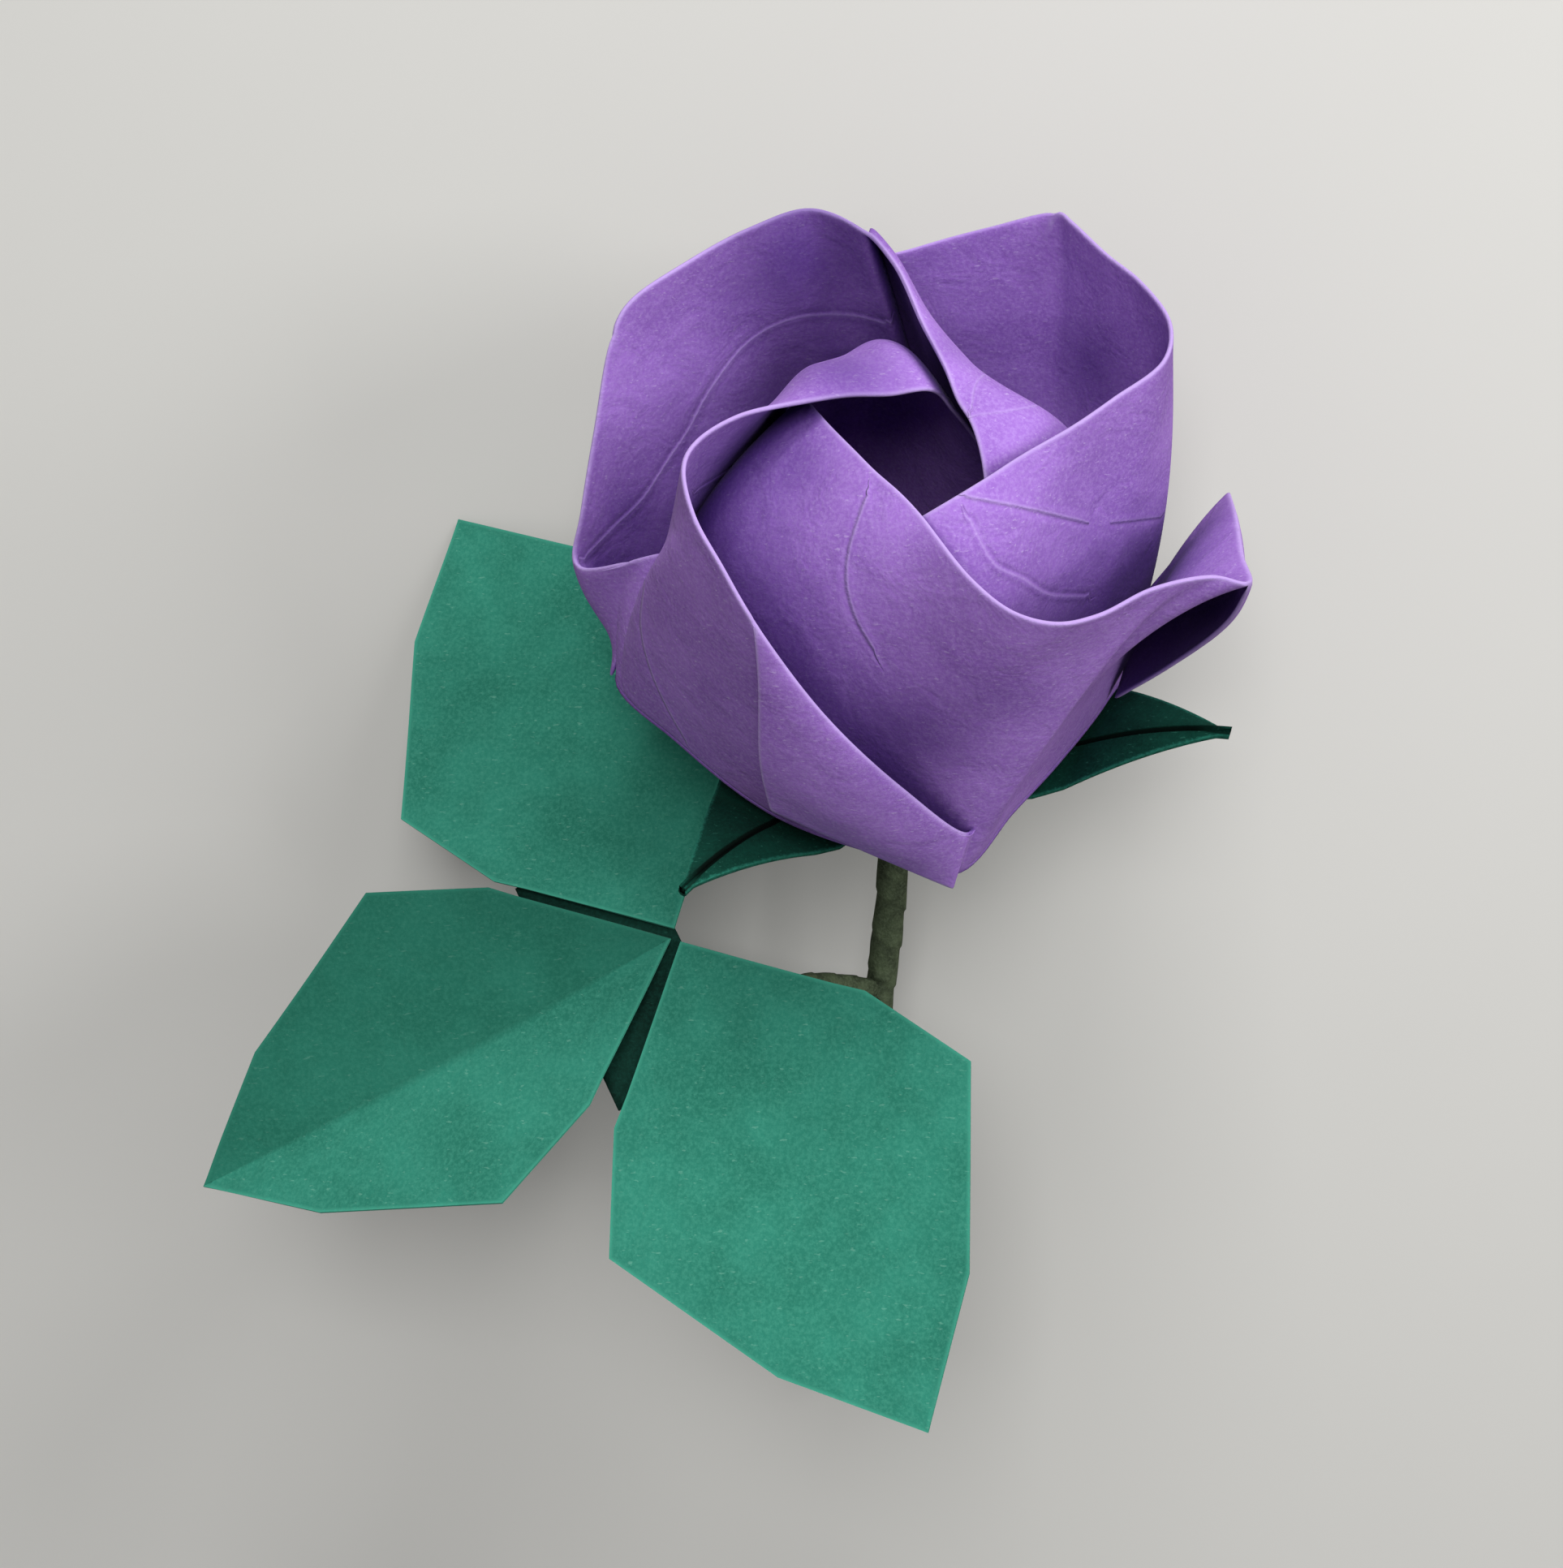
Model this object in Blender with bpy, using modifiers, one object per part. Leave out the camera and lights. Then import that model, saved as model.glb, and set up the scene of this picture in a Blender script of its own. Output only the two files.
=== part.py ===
# Paper flower: a twisted four-petal rose on a taped wire stem, with a folded calyx and a
# folded three-leaflet leaf. Metres, +Z up. The flower is drawn with the bloom's axis on Z
# and is then laid down on the points that it comes to rest on.
import math

import bmesh
import bpy
from mathutils import Matrix, Vector

MM = 0.001
GAP = 0.3 * MM                  # clearance between pieces that touch

# Bloom: one square sheet, twisted into four petals
PETAL_PAPER = 0.5 * MM          # a petal wall, a doubled sheet
BOTTOM_FOLDS = 1.2 * MM         # the twisted folds under the bloom
BOTTOM_SAG = 4.0 * MM           # the bottom's middle hangs this far below its edge
BOTTOM_LIP = 0.5 * MM           # the bottom's folds reach this far past the walls' foot
WALL_INSET = 1.6 * MM           # a petal's tucked part stands this far inside the next petal
FOOT_FROM = -178                # where a wall's foot starts on the bottom's edge, from its corner
TUCKED_UNTIL = -50              # up to here the foot lies inside the next petal
TWICE_TUCKED_UNTIL = -140       # and up to here inside the one after that too
WALL_BARREL = 0.9 * MM          # an upright wall bows out this far
STRIP_FROM = -105               # a petal's flat strip shows between these two directions
STRIP_UNTIL = -46
WALL_GRID = (40, 8)
FLAP_GRID = (12, 6)
BOTTOM_GRID = (60, 5)

# The bottom's edge: direction in degrees, radius and height in millimetres
BOTTOM_EDGE = [(-176, 31.0, 5.0), (-157, 26.0, 4.2), (-126, 22.6, 2.2), (-93, 22.4, 0.8),
               (-75, 24.9, 0.4), (-52, 20.9, 1.6), (-30, 20.9, 3.0), (-6, 24.0, 4.2),
               (8, 27.0, 4.6), (34, 22.6, 4.4), (60, 22.4, 4.4), (84, 25.4, 4.6),
               (99, 28.6, 4.6), (125, 23.4, 4.8), (158, 25.0, 5.0)]

# Each petal is drawn from the direction of its outer corner: an angle in degrees from that
# direction, then a radius and a height in millimetres.
# rim: the cut edge, from the tucked end past the bloom's middle and out to the corner
# ridge: the fold from the corner down to the next petal
# tuck: where the ridge ends against the next petal; foot_to: where the wall's foot ends
# free_edge: the cut edge of the turned-out flap, from below the corner down
# flap_foot: the flap's last corner, below the end of the ridge
# flare: how far the wall spreads like a bell; dome: how full its leaning inner part is
# strip: how wide the flat strip is that shows inside the next petal, mm
# bow: how far its outer part bows out besides, mm; bulge: how far the flap stands out, mm
PETALS = {
    "back_left": dict(
        corner=152,
        rim=[(-228, 16.0, 24), (-205, 10.0, 36), (-185, 6.8, 40), (-140, 4.6, 42),
             (-102, 4.9, 42.5), (-78, 7.8, 43), (-62, 13.8, 43.4), (-55, 23.0, 44),
             (-49, 28.4, 44.8), (-41, 32.2, 45.2), (-28, 32.2, 45), (-14, 32.9, 44),
             (-2, 35.1, 42)],
        ridge=[(2, 35.5, 40), (11, 35.2, 31), (19, 35.4, 23.5), (24, 35.7, 18),
               (30, 25.8, 24)],
        tuck=[], foot_to=37,
        free_edge=[(4, 35.0, 28), (5, 33.4, 18), (6, 31.0, 10)],
        flap_foot=(32, 31.8, 5.0), flare=0.1, dome=1.0, strip=12, bow=0, bulge=0.6),
    "back_right": dict(
        corner=62,
        rim=[(-205, 16.0, 24), (-180, 12.4, 36), (-155, 10.0, 40), (-115, 8.6, 42),
             (-81, 9.9, 42.2), (-60, 14.8, 43), (-49, 19.6, 43.3), (-41, 26.2, 44),
             (-31, 30.0, 44), (-18, 32.3, 43.6), (-9, 33.9, 43), (1, 37.4, 42.5)],
        ridge=[(4, 38.8, 42), (14, 37.2, 39.2), (26, 35.0, 37), (40, 32.0, 36)],
        tuck=[(44, 29.2, 33)], foot_to=42,
        free_edge=[(7, 37.0, 30), (9, 34.0, 19), (10, 31.0, 10)],
        flap_foot=(42, 31.0, 6.5), flare=0.1, dome=0.7, strip=0, bow=3.0, bulge=1.0),
    "front_right": dict(
        corner=-28,
        rim=[(-208, 17.5, 24), (-197, 16.6, 34), (-184, 13.6, 38.6), (-166, 9.6, 39.8), (-140, 7.2, 40.3),
             (-107, 7.2, 41), (-80, 8.7, 41.2), (-66, 11.0, 41), (-50, 18.6, 40),
             (-42, 22.8, 39.1), (-34, 25.6, 39), (-25, 26.7, 39), (-11, 27.9, 39),
             (0, 32.0, 38.2)],
        ridge=[(3, 35.0, 37), (15, 33.6, 33.4), (35, 35.0, 27.4), (48, 38.6, 22)],
        tuck=[], foot_to=37,
        free_edge=[(7, 33.8, 28.5), (15, 29.4, 15), (20, 24.8, 5.4)],
        flap_foot=(42, 29.0, 12), flare=0.8, dome=0.6, strip=0, bow=0, bulge=3.0),
    "front_left": dict(
        corner=-118,
        rim=[(-200, 16.0, 24), (-178, 8.8, 37), (-160, 6.8, 41), (-122, 6.7, 41),
             (-95, 9.0, 41.5), (-78, 12.1, 42), (-62, 18.7, 43), (-52, 23.3, 43),
             (-45, 25.1, 42.8), (-34, 25.9, 41.2), (-22, 26.1, 39)],
        ridge=[(-12, 26.4, 35.6), (6, 26.0, 26.5), (26, 25.6, 16.5), (44, 25.6, 8)],
        tuck=[(50, 21.6, 8)], foot_to=47,
        free_edge=[(-8, 27.5, 29), (-5.5, 28.2, 18), (-4, 26.4, 8)],
        flap_foot=(41, 27.0, 0.2), flare=0.0, dome=1.1, strip=0, bow=0, bulge=0.6),
}

# Calyx: one folded sheet, four pointed sepals round the wire
SEPAL_THICK = 1.4 * MM
SEPAL_ARCH = 1.2 * MM           # a sepal rises this far between the bloom and its tip
SEPAL_SLIT = 0.7 * MM           # depth of the slit where the folds meet
# Each sepal: direction in degrees, its tip's reach and height, and the width of its
# clockwise and its other half, all in mm
SEPALS = [(-126.5, 38.6, 5.0, 9.4, 7.0), (-18.0, 37.6, 10.0, 7.4, 12.0), (60, 38.0, 7.0, 9.0, 9.0),
          (150, 38.0, 7.0, 9.0, 9.0)]

# Glue between the bloom and the calyx
GLUE_RADIUS = 7.0 * MM
GLUE_THICK = 0.8 * MM

# Stem and leaf stalk: wire wrapped in paper tape
WIRE_RADIUS = 0.7 * MM
TAPE_RADIUS = 1.9 * MM
WIRE_INSIDE_BLOOM = 5.0 * MM
STEM_ROUTE = [(0, 0, -8), (1.0, -0.6, -14), (2.4, -4.6, -24), (2.2, -10, -34),
              (1.0, -22, -60), (0, -36.5, -94)]
STALK_WIRE_RADIUS = 0.45 * MM
STALK_TAPE_RADIUS = 1.2 * MM
STALK_JOINT = -40               # height where the stalk meets the stem, mm
STALK_UNDER_LEAF = 8.0 * MM     # the stalk's end reaches this far past the leaf's middle
STALK_DIP = 1.2 * MM            # and drops this far from the leaf before it bends away
STALK_BEND = (5.6, -9.5)        # where it bends away, in the leaf's plane, mm
STALK_LIFT = (0, 1.5, -1.0)     # and bows this far on its way to the stem, mm

# Leaf: one folded sheet, three leaflets and the fourth corner folded under
LEAFLET = 63.0 * MM             # from the leaf's middle to a tip
LEAF_PAPER = 0.7 * MM
LEAF_MIDDLE = (-23.4, -17.6, -23.0)
LEAF_NORMAL = (-0.238, -0.334, 0.912)
LEAF_UP = (-0.445, 0.872, 0.203)
# A leaflet's outline as shares of its length: along the midrib, and out from it
LEAFLET_OUTLINE = [(0.014, 0.0), (0.225, 0.212), (0.27, 0.26), (0.478, 0.367), (0.80, 0.189)]
# Each leaflet: direction in the leaf's plane, fold of each half, lift of the tip, degrees,
# and its width as a share of the outline's
LEAFLETS = {"upper": (91.5, 3, 0, 1.0), "left": (180, 18, 1, 0.93), "lower": (-89.5, 3, 0, 1.0)}
UNDERFOLD = 0.34                # reach of the folded-under corner, as a share of the leaflet

# How the flower lies when it is put down: roughly up, and the way that its +Y then points
LAID_UP = (-0.18, -0.80, 0.57)
LAID_AHEAD = (-0.03, 0.79, 0.61)


def polar(angle, radius, height):
    turn = math.radians(angle)
    return Vector((radius * math.cos(turn), radius * math.sin(turn), height)) * MM


def smooth_step(value):
    value = min(max(value, 0.0), 1.0)
    return value * value * (3 - 2 * value)


def curve_through(points, count, closed=False, samples=24):
    """Evenly spaced points on a centripetal curve that passes through the given points."""
    total = len(points)
    dense = []
    for span in range(total if closed else total - 1):
        b, c = points[span], points[(span + 1) % total]
        a = points[span - 1] if closed or span else b * 2 - c
        d = points[(span + 2) % total] if closed or span + 2 < total else c * 2 - b
        t1 = (b - a).length ** 0.5
        t2 = t1 + (c - b).length ** 0.5
        t3 = t2 + (d - c).length ** 0.5
        for step in range(samples):
            t = t1 + (t2 - t1) * step / samples
            ab = a.lerp(b, t / t1)
            bc = b.lerp(c, (t - t1) / (t2 - t1))
            cd = c.lerp(d, (t - t2) / (t3 - t2))
            left = ab.lerp(bc, t / t2)
            right = bc.lerp(cd, (t - t1) / (t3 - t1))
            dense.append(left.lerp(right, (t - t1) / (t2 - t1)))
    dense.append(points[0].copy() if closed else points[-1].copy())
    return resample(dense, count)


def resample(line, count):
    lengths = [0.0]
    for start, end in zip(line, line[1:]):
        lengths.append(lengths[-1] + (end - start).length)
    result = []
    span = 0
    for index in range(count):
        goal = lengths[-1] * index / (count - 1)
        while span < len(line) - 2 and lengths[span + 1] < goal:
            span += 1
        share = (goal - lengths[span]) / max(lengths[span + 1] - lengths[span], 1e-12)
        result.append(line[span].lerp(line[span + 1], share))
    return result


def add_object(name, mesh, collection):
    thing = bpy.data.objects.new(name, mesh)
    collection.objects.link(thing)
    return thing


def grid_object(name, rows, collection, closed=False):
    """An open sheet over rows of points; closed joins each row's end to its start."""
    mesh = bpy.data.meshes.new(name)
    width = len(rows[0])
    faces = []
    for r in range(len(rows) - 1):
        for c in range(width if closed else width - 1):
            n = (c + 1) % width
            faces.append((r * width + c, r * width + n, (r + 1) * width + n, (r + 1) * width + c))
    mesh.from_pydata([p for row in rows for p in row], [], faces)
    return add_object(name, mesh, collection)


def thicken(thing, thickness, offset=0.0):
    solid = thing.modifiers.new("Paper", "SOLIDIFY")
    solid.thickness = thickness
    solid.offset = offset
    solid.use_even_offset = True
    solid.thickness_clamp = 1.0
    return thing


def bake(thing):
    """Replaces an object's mesh or curve with its evaluated mesh, caps welded."""
    bpy.context.view_layer.update()
    evaluated = thing.evaluated_get(bpy.context.evaluated_depsgraph_get())
    mesh = bpy.data.meshes.new_from_object(evaluated)
    weld = bmesh.new()
    weld.from_mesh(mesh)
    bmesh.ops.remove_doubles(weld, verts=weld.verts, dist=1e-7)
    bmesh.ops.recalc_face_normals(weld, faces=weld.faces)
    weld.to_mesh(mesh)
    weld.free()
    name, place, home = thing.name, thing.matrix_world.copy(), thing.users_collection[0]
    bpy.data.objects.remove(thing)
    solid = add_object(name, mesh, home)
    solid.matrix_world = place
    return solid


def combine(base, others, operation="UNION"):
    """One closed body from the base and the others, which are removed afterwards."""
    for other in others:
        step = base.modifiers.new(other.name, "BOOLEAN")
        step.operation = operation
        step.solver = "EXACT"
        step.object = other
    solid = bake(base)
    for other in others:
        bpy.data.objects.remove(other)
    return solid


def bottom_edge(count=360):
    """The bloom's bottom edge as points, and their directions for looking one up."""
    line = curve_through([polar(*corner) for corner in BOTTOM_EDGE], count + 1, closed=True)
    return line[:-1]


def edge_point(edge, angle):
    turn = math.radians(angle)
    toward = Vector((math.cos(turn), math.sin(turn), 0))
    return max(edge, key=lambda p: p.xy.normalized().dot(toward.xy)).copy()


def petal_point(petal, point):
    angle, radius, height = point
    return polar(petal["corner"] + angle, radius, height)


def strip_share(petal, high):
    """How much of a petal's flat strip there is below a point of its rim, from 0 to 1."""
    if not petal["strip"]:
        return 0.0
    turned = (math.degrees(math.atan2(high.y, high.x)) - petal["corner"] + 180) % 360 - 180
    return smooth_step((turned - STRIP_FROM) / 25) * smooth_step((STRIP_UNTIL - turned) / 6)


def wall_rows(petal, edge):
    """A petal's wall from its rim and ridge down to its foot on the bottom's edge."""
    columns, rows = WALL_GRID
    top_points = petal["rim"] + petal["ridge"] + petal["tuck"]
    top = curve_through([petal_point(petal, p) for p in top_points], columns)
    lines = []
    for index, high in enumerate(top):
        angle = FOOT_FROM + (petal["foot_to"] - FOOT_FROM) * index / (columns - 1)
        low = edge_point(edge, petal["corner"] + angle)
        twice = smooth_step((TWICE_TUCKED_UNTIL - angle) / 25)
        tucked = smooth_step((TUCKED_UNTIL - angle) / 25) + twice
        out = Vector((low.x, low.y, 0)).normalized()
        low -= out * WALL_INSET * tucked
        shoulder = Vector((*low.xy.lerp(high.xy + high.xy.normalized() * petal["strip"] * MM,
                                        strip_share(petal, high)), high.z))
        lean = (shoulder.xy.length - high.xy.length) / MM
        dome = smooth_step(lean / 12) * petal["dome"] * (1 - 0.6 * twice)
        bell = smooth_step(-lean / 10) * petal["flare"]
        bow = WALL_BARREL + petal["bow"] * MM * (1 - min(tucked, 1))
        upper = high.lerp(low, 1 / 3) + out * bow
        lower = high.lerp(low, 2 / 3) + out * bow
        upper = upper.lerp(high.lerp(shoulder, 0.62), dome).lerp(high.lerp(shoulder, 0.5), bell)
        lower = lower.lerp(shoulder.lerp(low, 0.22), dome).lerp(shoulder.lerp(low, 0.4), bell)
        line = []
        for step in range(rows):
            t = step / (rows - 1)
            line.append(high * (1 - t) ** 3 + upper * 3 * t * (1 - t) ** 2
                        + lower * 3 * t * t * (1 - t) + low * t ** 3)
        lines.append(line)
    return lines


def flap_rows(petal):
    """A petal's turned-out flap, between its ridge, its free edge and its foot."""
    columns, rows = FLAP_GRID
    corner = petal_point(petal, petal["ridge"][0])
    ridge = curve_through([petal_point(petal, p) for p in petal["ridge"]], columns)
    free = curve_through([corner] + [petal_point(petal, p) for p in petal["free_edge"]], rows)
    last = petal_point(petal, petal["flap_foot"])
    end = [ridge[-1].lerp(last, step / (rows - 1)) for step in range(rows)]
    foot = [free[-1].lerp(last, step / (columns - 1)) for step in range(columns)]
    lines = []
    for c in range(columns):
        u = c / (columns - 1)
        line = []
        for r in range(rows):
            v = r / (rows - 1)
            along = ridge[c] * (1 - v) + foot[c] * v
            across = free[r] * (1 - u) + end[r] * u
            corners = (ridge[0] * (1 - u) * (1 - v) + ridge[-1] * u * (1 - v)
                       + foot[0] * (1 - u) * v + foot[-1] * u * v)
            point = along + across - corners
            out = Vector((point.x, point.y, 0)).normalized()
            swell = 16 * u * (1 - u) * v * (1 - v)
            line.append(point + out * petal["bulge"] * MM * swell)
        lines.append(line)
    return lines


def bottom_rows(edge):
    """The bloom's twisted bottom: rings from the wire's hole out to the bottom's edge."""
    columns, rings = BOTTOM_GRID
    hole = WIRE_RADIUS + GAP
    rows = []
    for ring in range(rings):
        share = ring / (rings - 1)
        row = []
        for column in range(columns):
            rim = edge[int(column * len(edge) / columns)]
            out = Vector((rim.x, rim.y, 0)).normalized()
            reach = hole + (rim.xy.length + BOTTOM_LIP - hole) * share
            row.append(out * reach + Vector((0, 0, bottom_height(rim, share))))
        rows.append(row)
    return rows


def bottom_height(rim, share):
    return rim.z * share - BOTTOM_SAG * (1 - share * share)


def make_bloom(home, edge):
    bottom = bake(thicken(grid_object("rose_bloom", bottom_rows(edge), home, closed=True),
                          BOTTOM_FOLDS))
    sheets = []
    for name, petal in PETALS.items():
        for kind, rows in (("wall", wall_rows(petal, edge)), ("flap", flap_rows(petal))):
            sheets.append(bake(thicken(grid_object(f"{name}_{kind}", rows, home), PETAL_PAPER)))
    return combine(bottom, sheets)


def material(name, color, roughness, metallic=0.0):
    paint = bpy.data.materials.new(name)
    paint.use_nodes = True
    shader = paint.node_tree.nodes["Principled BSDF"]
    shader.inputs["Base Color"].default_value = (*color, 1)
    shader.inputs["Roughness"].default_value = roughness
    shader.inputs["Metallic"].default_value = metallic
    paint.diffuse_color = (*color, 1)
    return paint


def loft(name, sections, home):
    """A closed body through sections with the same number of points, capped at both ends."""
    mesh = bpy.data.meshes.new(name)
    width = len(sections[0])
    faces = [tuple(reversed(range(width)))]
    for s in range(len(sections) - 1):
        for c in range(width):
            n = (c + 1) % width
            faces.append((s * width + c, s * width + n, (s + 1) * width + n, (s + 1) * width + c))
    start = (len(sections) - 1) * width
    faces.append(tuple(range(start, start + width)))
    mesh.from_pydata([p for section in sections for p in section], [], faces)
    return bake(add_object(name, mesh, home))


def sepal_sections(sepal, edge):
    """A sepal from under the bloom out to its tip, with the slit along its upper face."""
    angle, reach, tip_height, clockwise, other = sepal
    turn = math.radians(angle)
    out = Vector((math.cos(turn), math.sin(turn), 0))
    side = Vector((-out.y, out.x, 0))
    rim = edge_point(edge, angle)
    under = BOTTOM_FOLDS / 2 + GAP + GLUE_THICK + GAP + SEPAL_THICK / 2
    inner = rim.xy.length
    sections = []
    steps = 12
    for step in range(steps + 1):
        along = reach * MM * step / steps
        if along < inner:
            height = bottom_height(rim, along / inner) - under
        else:
            past = (along - inner) / (reach * MM - inner)
            height = ((rim.z - under) * (1 - past) + tip_height * MM * past
                      + SEPAL_ARCH * 4 * past * (1 - past))
        narrow = min(1.0, (reach * MM - along) / (reach * MM - inner * 0.85))
        near, far = (max(width * MM * narrow, 0.6 * MM) for width in (clockwise, other))
        slit = 0.25 * MM + 0.35 * MM * smooth_step(step / steps)
        top, low = SEPAL_THICK / 2, -SEPAL_THICK / 2
        outline = [(-near, low * 0.5), (-near, top * 0.1), (-slit, top), (0, top - SEPAL_SLIT),
                   (slit, top), (far, top * 0.1), (far, low * 0.5), (0, low)]
        centre = out * along + Vector((0, 0, height))
        sections.append([centre + side * a + Vector((0, 0, b)) for a, b in outline])
    return sections


def make_calyx(home, edge):
    sepals = [loft("calyx" if index == 0 else f"sepal_{index}", sepal_sections(sepal, edge), home)
              for index, sepal in enumerate(SEPALS)]
    star = combine(sepals[0], sepals[1:])
    return combine(star, [wire_hole(home)], "DIFFERENCE")


def wire_hole(home):
    bpy.ops.mesh.primitive_cylinder_add(vertices=24, radius=WIRE_RADIUS + GAP, depth=20 * MM,
                                        location=(0, 0, -5 * MM))
    hole = bpy.context.active_object
    for collection in list(hole.users_collection):
        collection.objects.unlink(hole)
    home.objects.link(hole)
    hole.name = "wire_hole"
    return hole


def make_glue(home, edge):
    """A flat ring of glue that follows the bloom's bottom."""
    rings = 5
    columns = 32
    rows = []
    for ring in range(rings):
        reach = WIRE_RADIUS + GAP + (GLUE_RADIUS - WIRE_RADIUS - GAP) * ring / (rings - 1)
        row = []
        for column in range(columns):
            angle = 360 * column / columns
            rim = edge_point(edge, angle)
            height = bottom_height(rim, reach / rim.xy.length)
            drop = BOTTOM_FOLDS / 2 + GAP + GLUE_THICK / 2
            row.append(polar(angle, reach / MM, 0) + Vector((0, 0, height - drop)))
        rows.append(row)
    return bake(thicken(grid_object("glue", rows, home, closed=True), GLUE_THICK))


def tube(name, points, radius, home, resolution=2):
    """A round rod along a smooth route."""
    data = bpy.data.curves.new(name, "CURVE")
    data.dimensions = "3D"
    data.bevel_depth = radius
    data.bevel_resolution = resolution
    data.use_fill_caps = True
    line = data.splines.new("POLY")
    line.points.add(len(points) - 1)
    for place, point in zip(line.points, points):
        place.co = (*point, 1)
    return bake(add_object(name, data, home))


def millimetres(point):
    return Vector(point) * MM


def stem_line(count=36):
    return curve_through([millimetres(p) for p in STEM_ROUTE], count)


def make_stem(home):
    line = stem_line()
    top = BOTTOM_SAG - BOTTOM_FOLDS / 2
    inside = [Vector((0, 0, -top + WIRE_INSIDE_BLOOM)), Vector((0, 0, -top))]
    wire = tube("stem_wire", inside + line, WIRE_RADIUS, home)
    tape = tube("stem_tape", line, TAPE_RADIUS, home, 3)
    bore = tube("stem_bore", [line[0] * 2 - line[1]] + line + [line[-1] * 2 - line[-2]],
                WIRE_RADIUS + GAP, home)
    return [wire, combine(tape, [bore], "DIFFERENCE")]


def leaf_frame():
    up = Vector(LEAF_UP).normalized()
    normal = Vector(LEAF_NORMAL)
    normal = (normal - up * normal.dot(up)).normalized()
    right = up.cross(normal)
    frame = Matrix((right, up, normal)).transposed().to_4x4()
    frame.translation = millimetres(LEAF_MIDDLE)
    return frame


def leaflet_sheet(name, leaflet, home):
    """Two flat halves that meet in the midrib's valley."""
    direction, fold, lift = (math.radians(value) for value in leaflet[:3])
    points = [Vector((LEAFLET * a, 0, 0)) for a in (LEAFLET_OUTLINE[0][0], 1.0)]
    faces = []
    for side in (1, -1):
        first = len(points)
        for along, out in LEAFLET_OUTLINE[1:]:
            spread = LEAFLET * out * leaflet[3]
            points.append(Vector((LEAFLET * along, side * spread * math.cos(fold),
                                  spread * math.sin(fold))))
        ring = [0, *range(first, first + len(LEAFLET_OUTLINE) - 1), 1]
        faces.append(ring if side < 0 else list(reversed(ring)))
    mesh = bpy.data.meshes.new(name)
    place = Matrix.Rotation(direction, 4, "Z") @ Matrix.Rotation(-lift, 4, "Y")
    mesh.from_pydata([place @ p for p in points], [], faces)
    return bake(thicken(add_object(name, mesh, home), LEAF_PAPER))


def make_leaf(home):
    frame = leaf_frame()
    half = LEAFLET * UNDERFOLD / math.sqrt(2)
    bpy.ops.mesh.primitive_cube_add(size=1)
    under = bpy.context.active_object
    under.name = "leaf"
    under.data.transform(Matrix.Translation((-half / 2, 0, -LEAF_PAPER * 0.7))
                         @ Matrix.Diagonal((half, 2 * half, LEAF_PAPER, 1)))
    for collection in list(under.users_collection):
        collection.objects.unlink(under)
    home.objects.link(under)
    leaflets = [leaflet_sheet(name, leaflet, home) for name, leaflet in LEAFLETS.items()]
    leaf = combine(under, leaflets)
    leaf.data.transform(frame)
    return leaf


def make_stalk(home):
    """The leaf's own taped wire, from under the leaf's middle to the stem."""
    frame = leaf_frame()
    under = LEAF_PAPER * 1.2 + GAP + STALK_TAPE_RADIUS
    stem = stem_line(200)
    joint = min(stem, key=lambda p: abs(p.z - STALK_JOINT * MM))
    start = frame @ Vector((-STALK_UNDER_LEAF, 0, -under))
    middle = frame @ Vector((STALK_BEND[0] * MM, STALK_BEND[1] * MM, -under - STALK_DIP))
    toward = (middle - joint).normalized()
    end = joint + toward * (TAPE_RADIUS + GAP + STALK_TAPE_RADIUS * 0.6)
    line = curve_through([start, middle, middle.lerp(end, 0.5) + millimetres(STALK_LIFT), end], 20)
    wire = tube("stalk_wire", line, STALK_WIRE_RADIUS, home)
    tape = tube("stalk_tape", line, STALK_TAPE_RADIUS, home)
    bore = tube("stalk_bore", [line[0] * 2 - line[1]] + line + [line[-1] * 2 - line[-2]],
                STALK_WIRE_RADIUS + GAP, home)
    return [wire, combine(tape, [bore], "DIFFERENCE")]


def lowest(thing, up):
    return min((v.co for v in thing.data.vertices), key=up.dot)


def lay_down(things, feet):
    """Turns the flower until its three feet share a floor, then centres it on the origin."""
    up = Vector(LAID_UP).normalized()
    for _ in range(10):
        a, b, c = (lowest(foot, up) for foot in feet)
        normal = (b - a).cross(c - a).normalized()
        up = normal if normal.dot(up) > 0 else -normal
    ahead = Vector(LAID_AHEAD)
    ahead = (ahead - up * ahead.dot(up)).normalized()
    turn = Matrix((ahead.cross(up), ahead, up)).to_4x4()
    for thing in things:
        thing.data.transform(turn)
    corners = [v.co for thing in things for v in thing.data.vertices]
    low, high = (Vector(pick(c[axis] for c in corners) for axis in range(3)) for pick in (min, max))
    shift = Matrix.Translation(((low.x + high.x) / -2, (low.y + high.y) / -2, -low.z))
    for thing in things:
        thing.data.transform(shift)
        thing.data.update()


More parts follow.
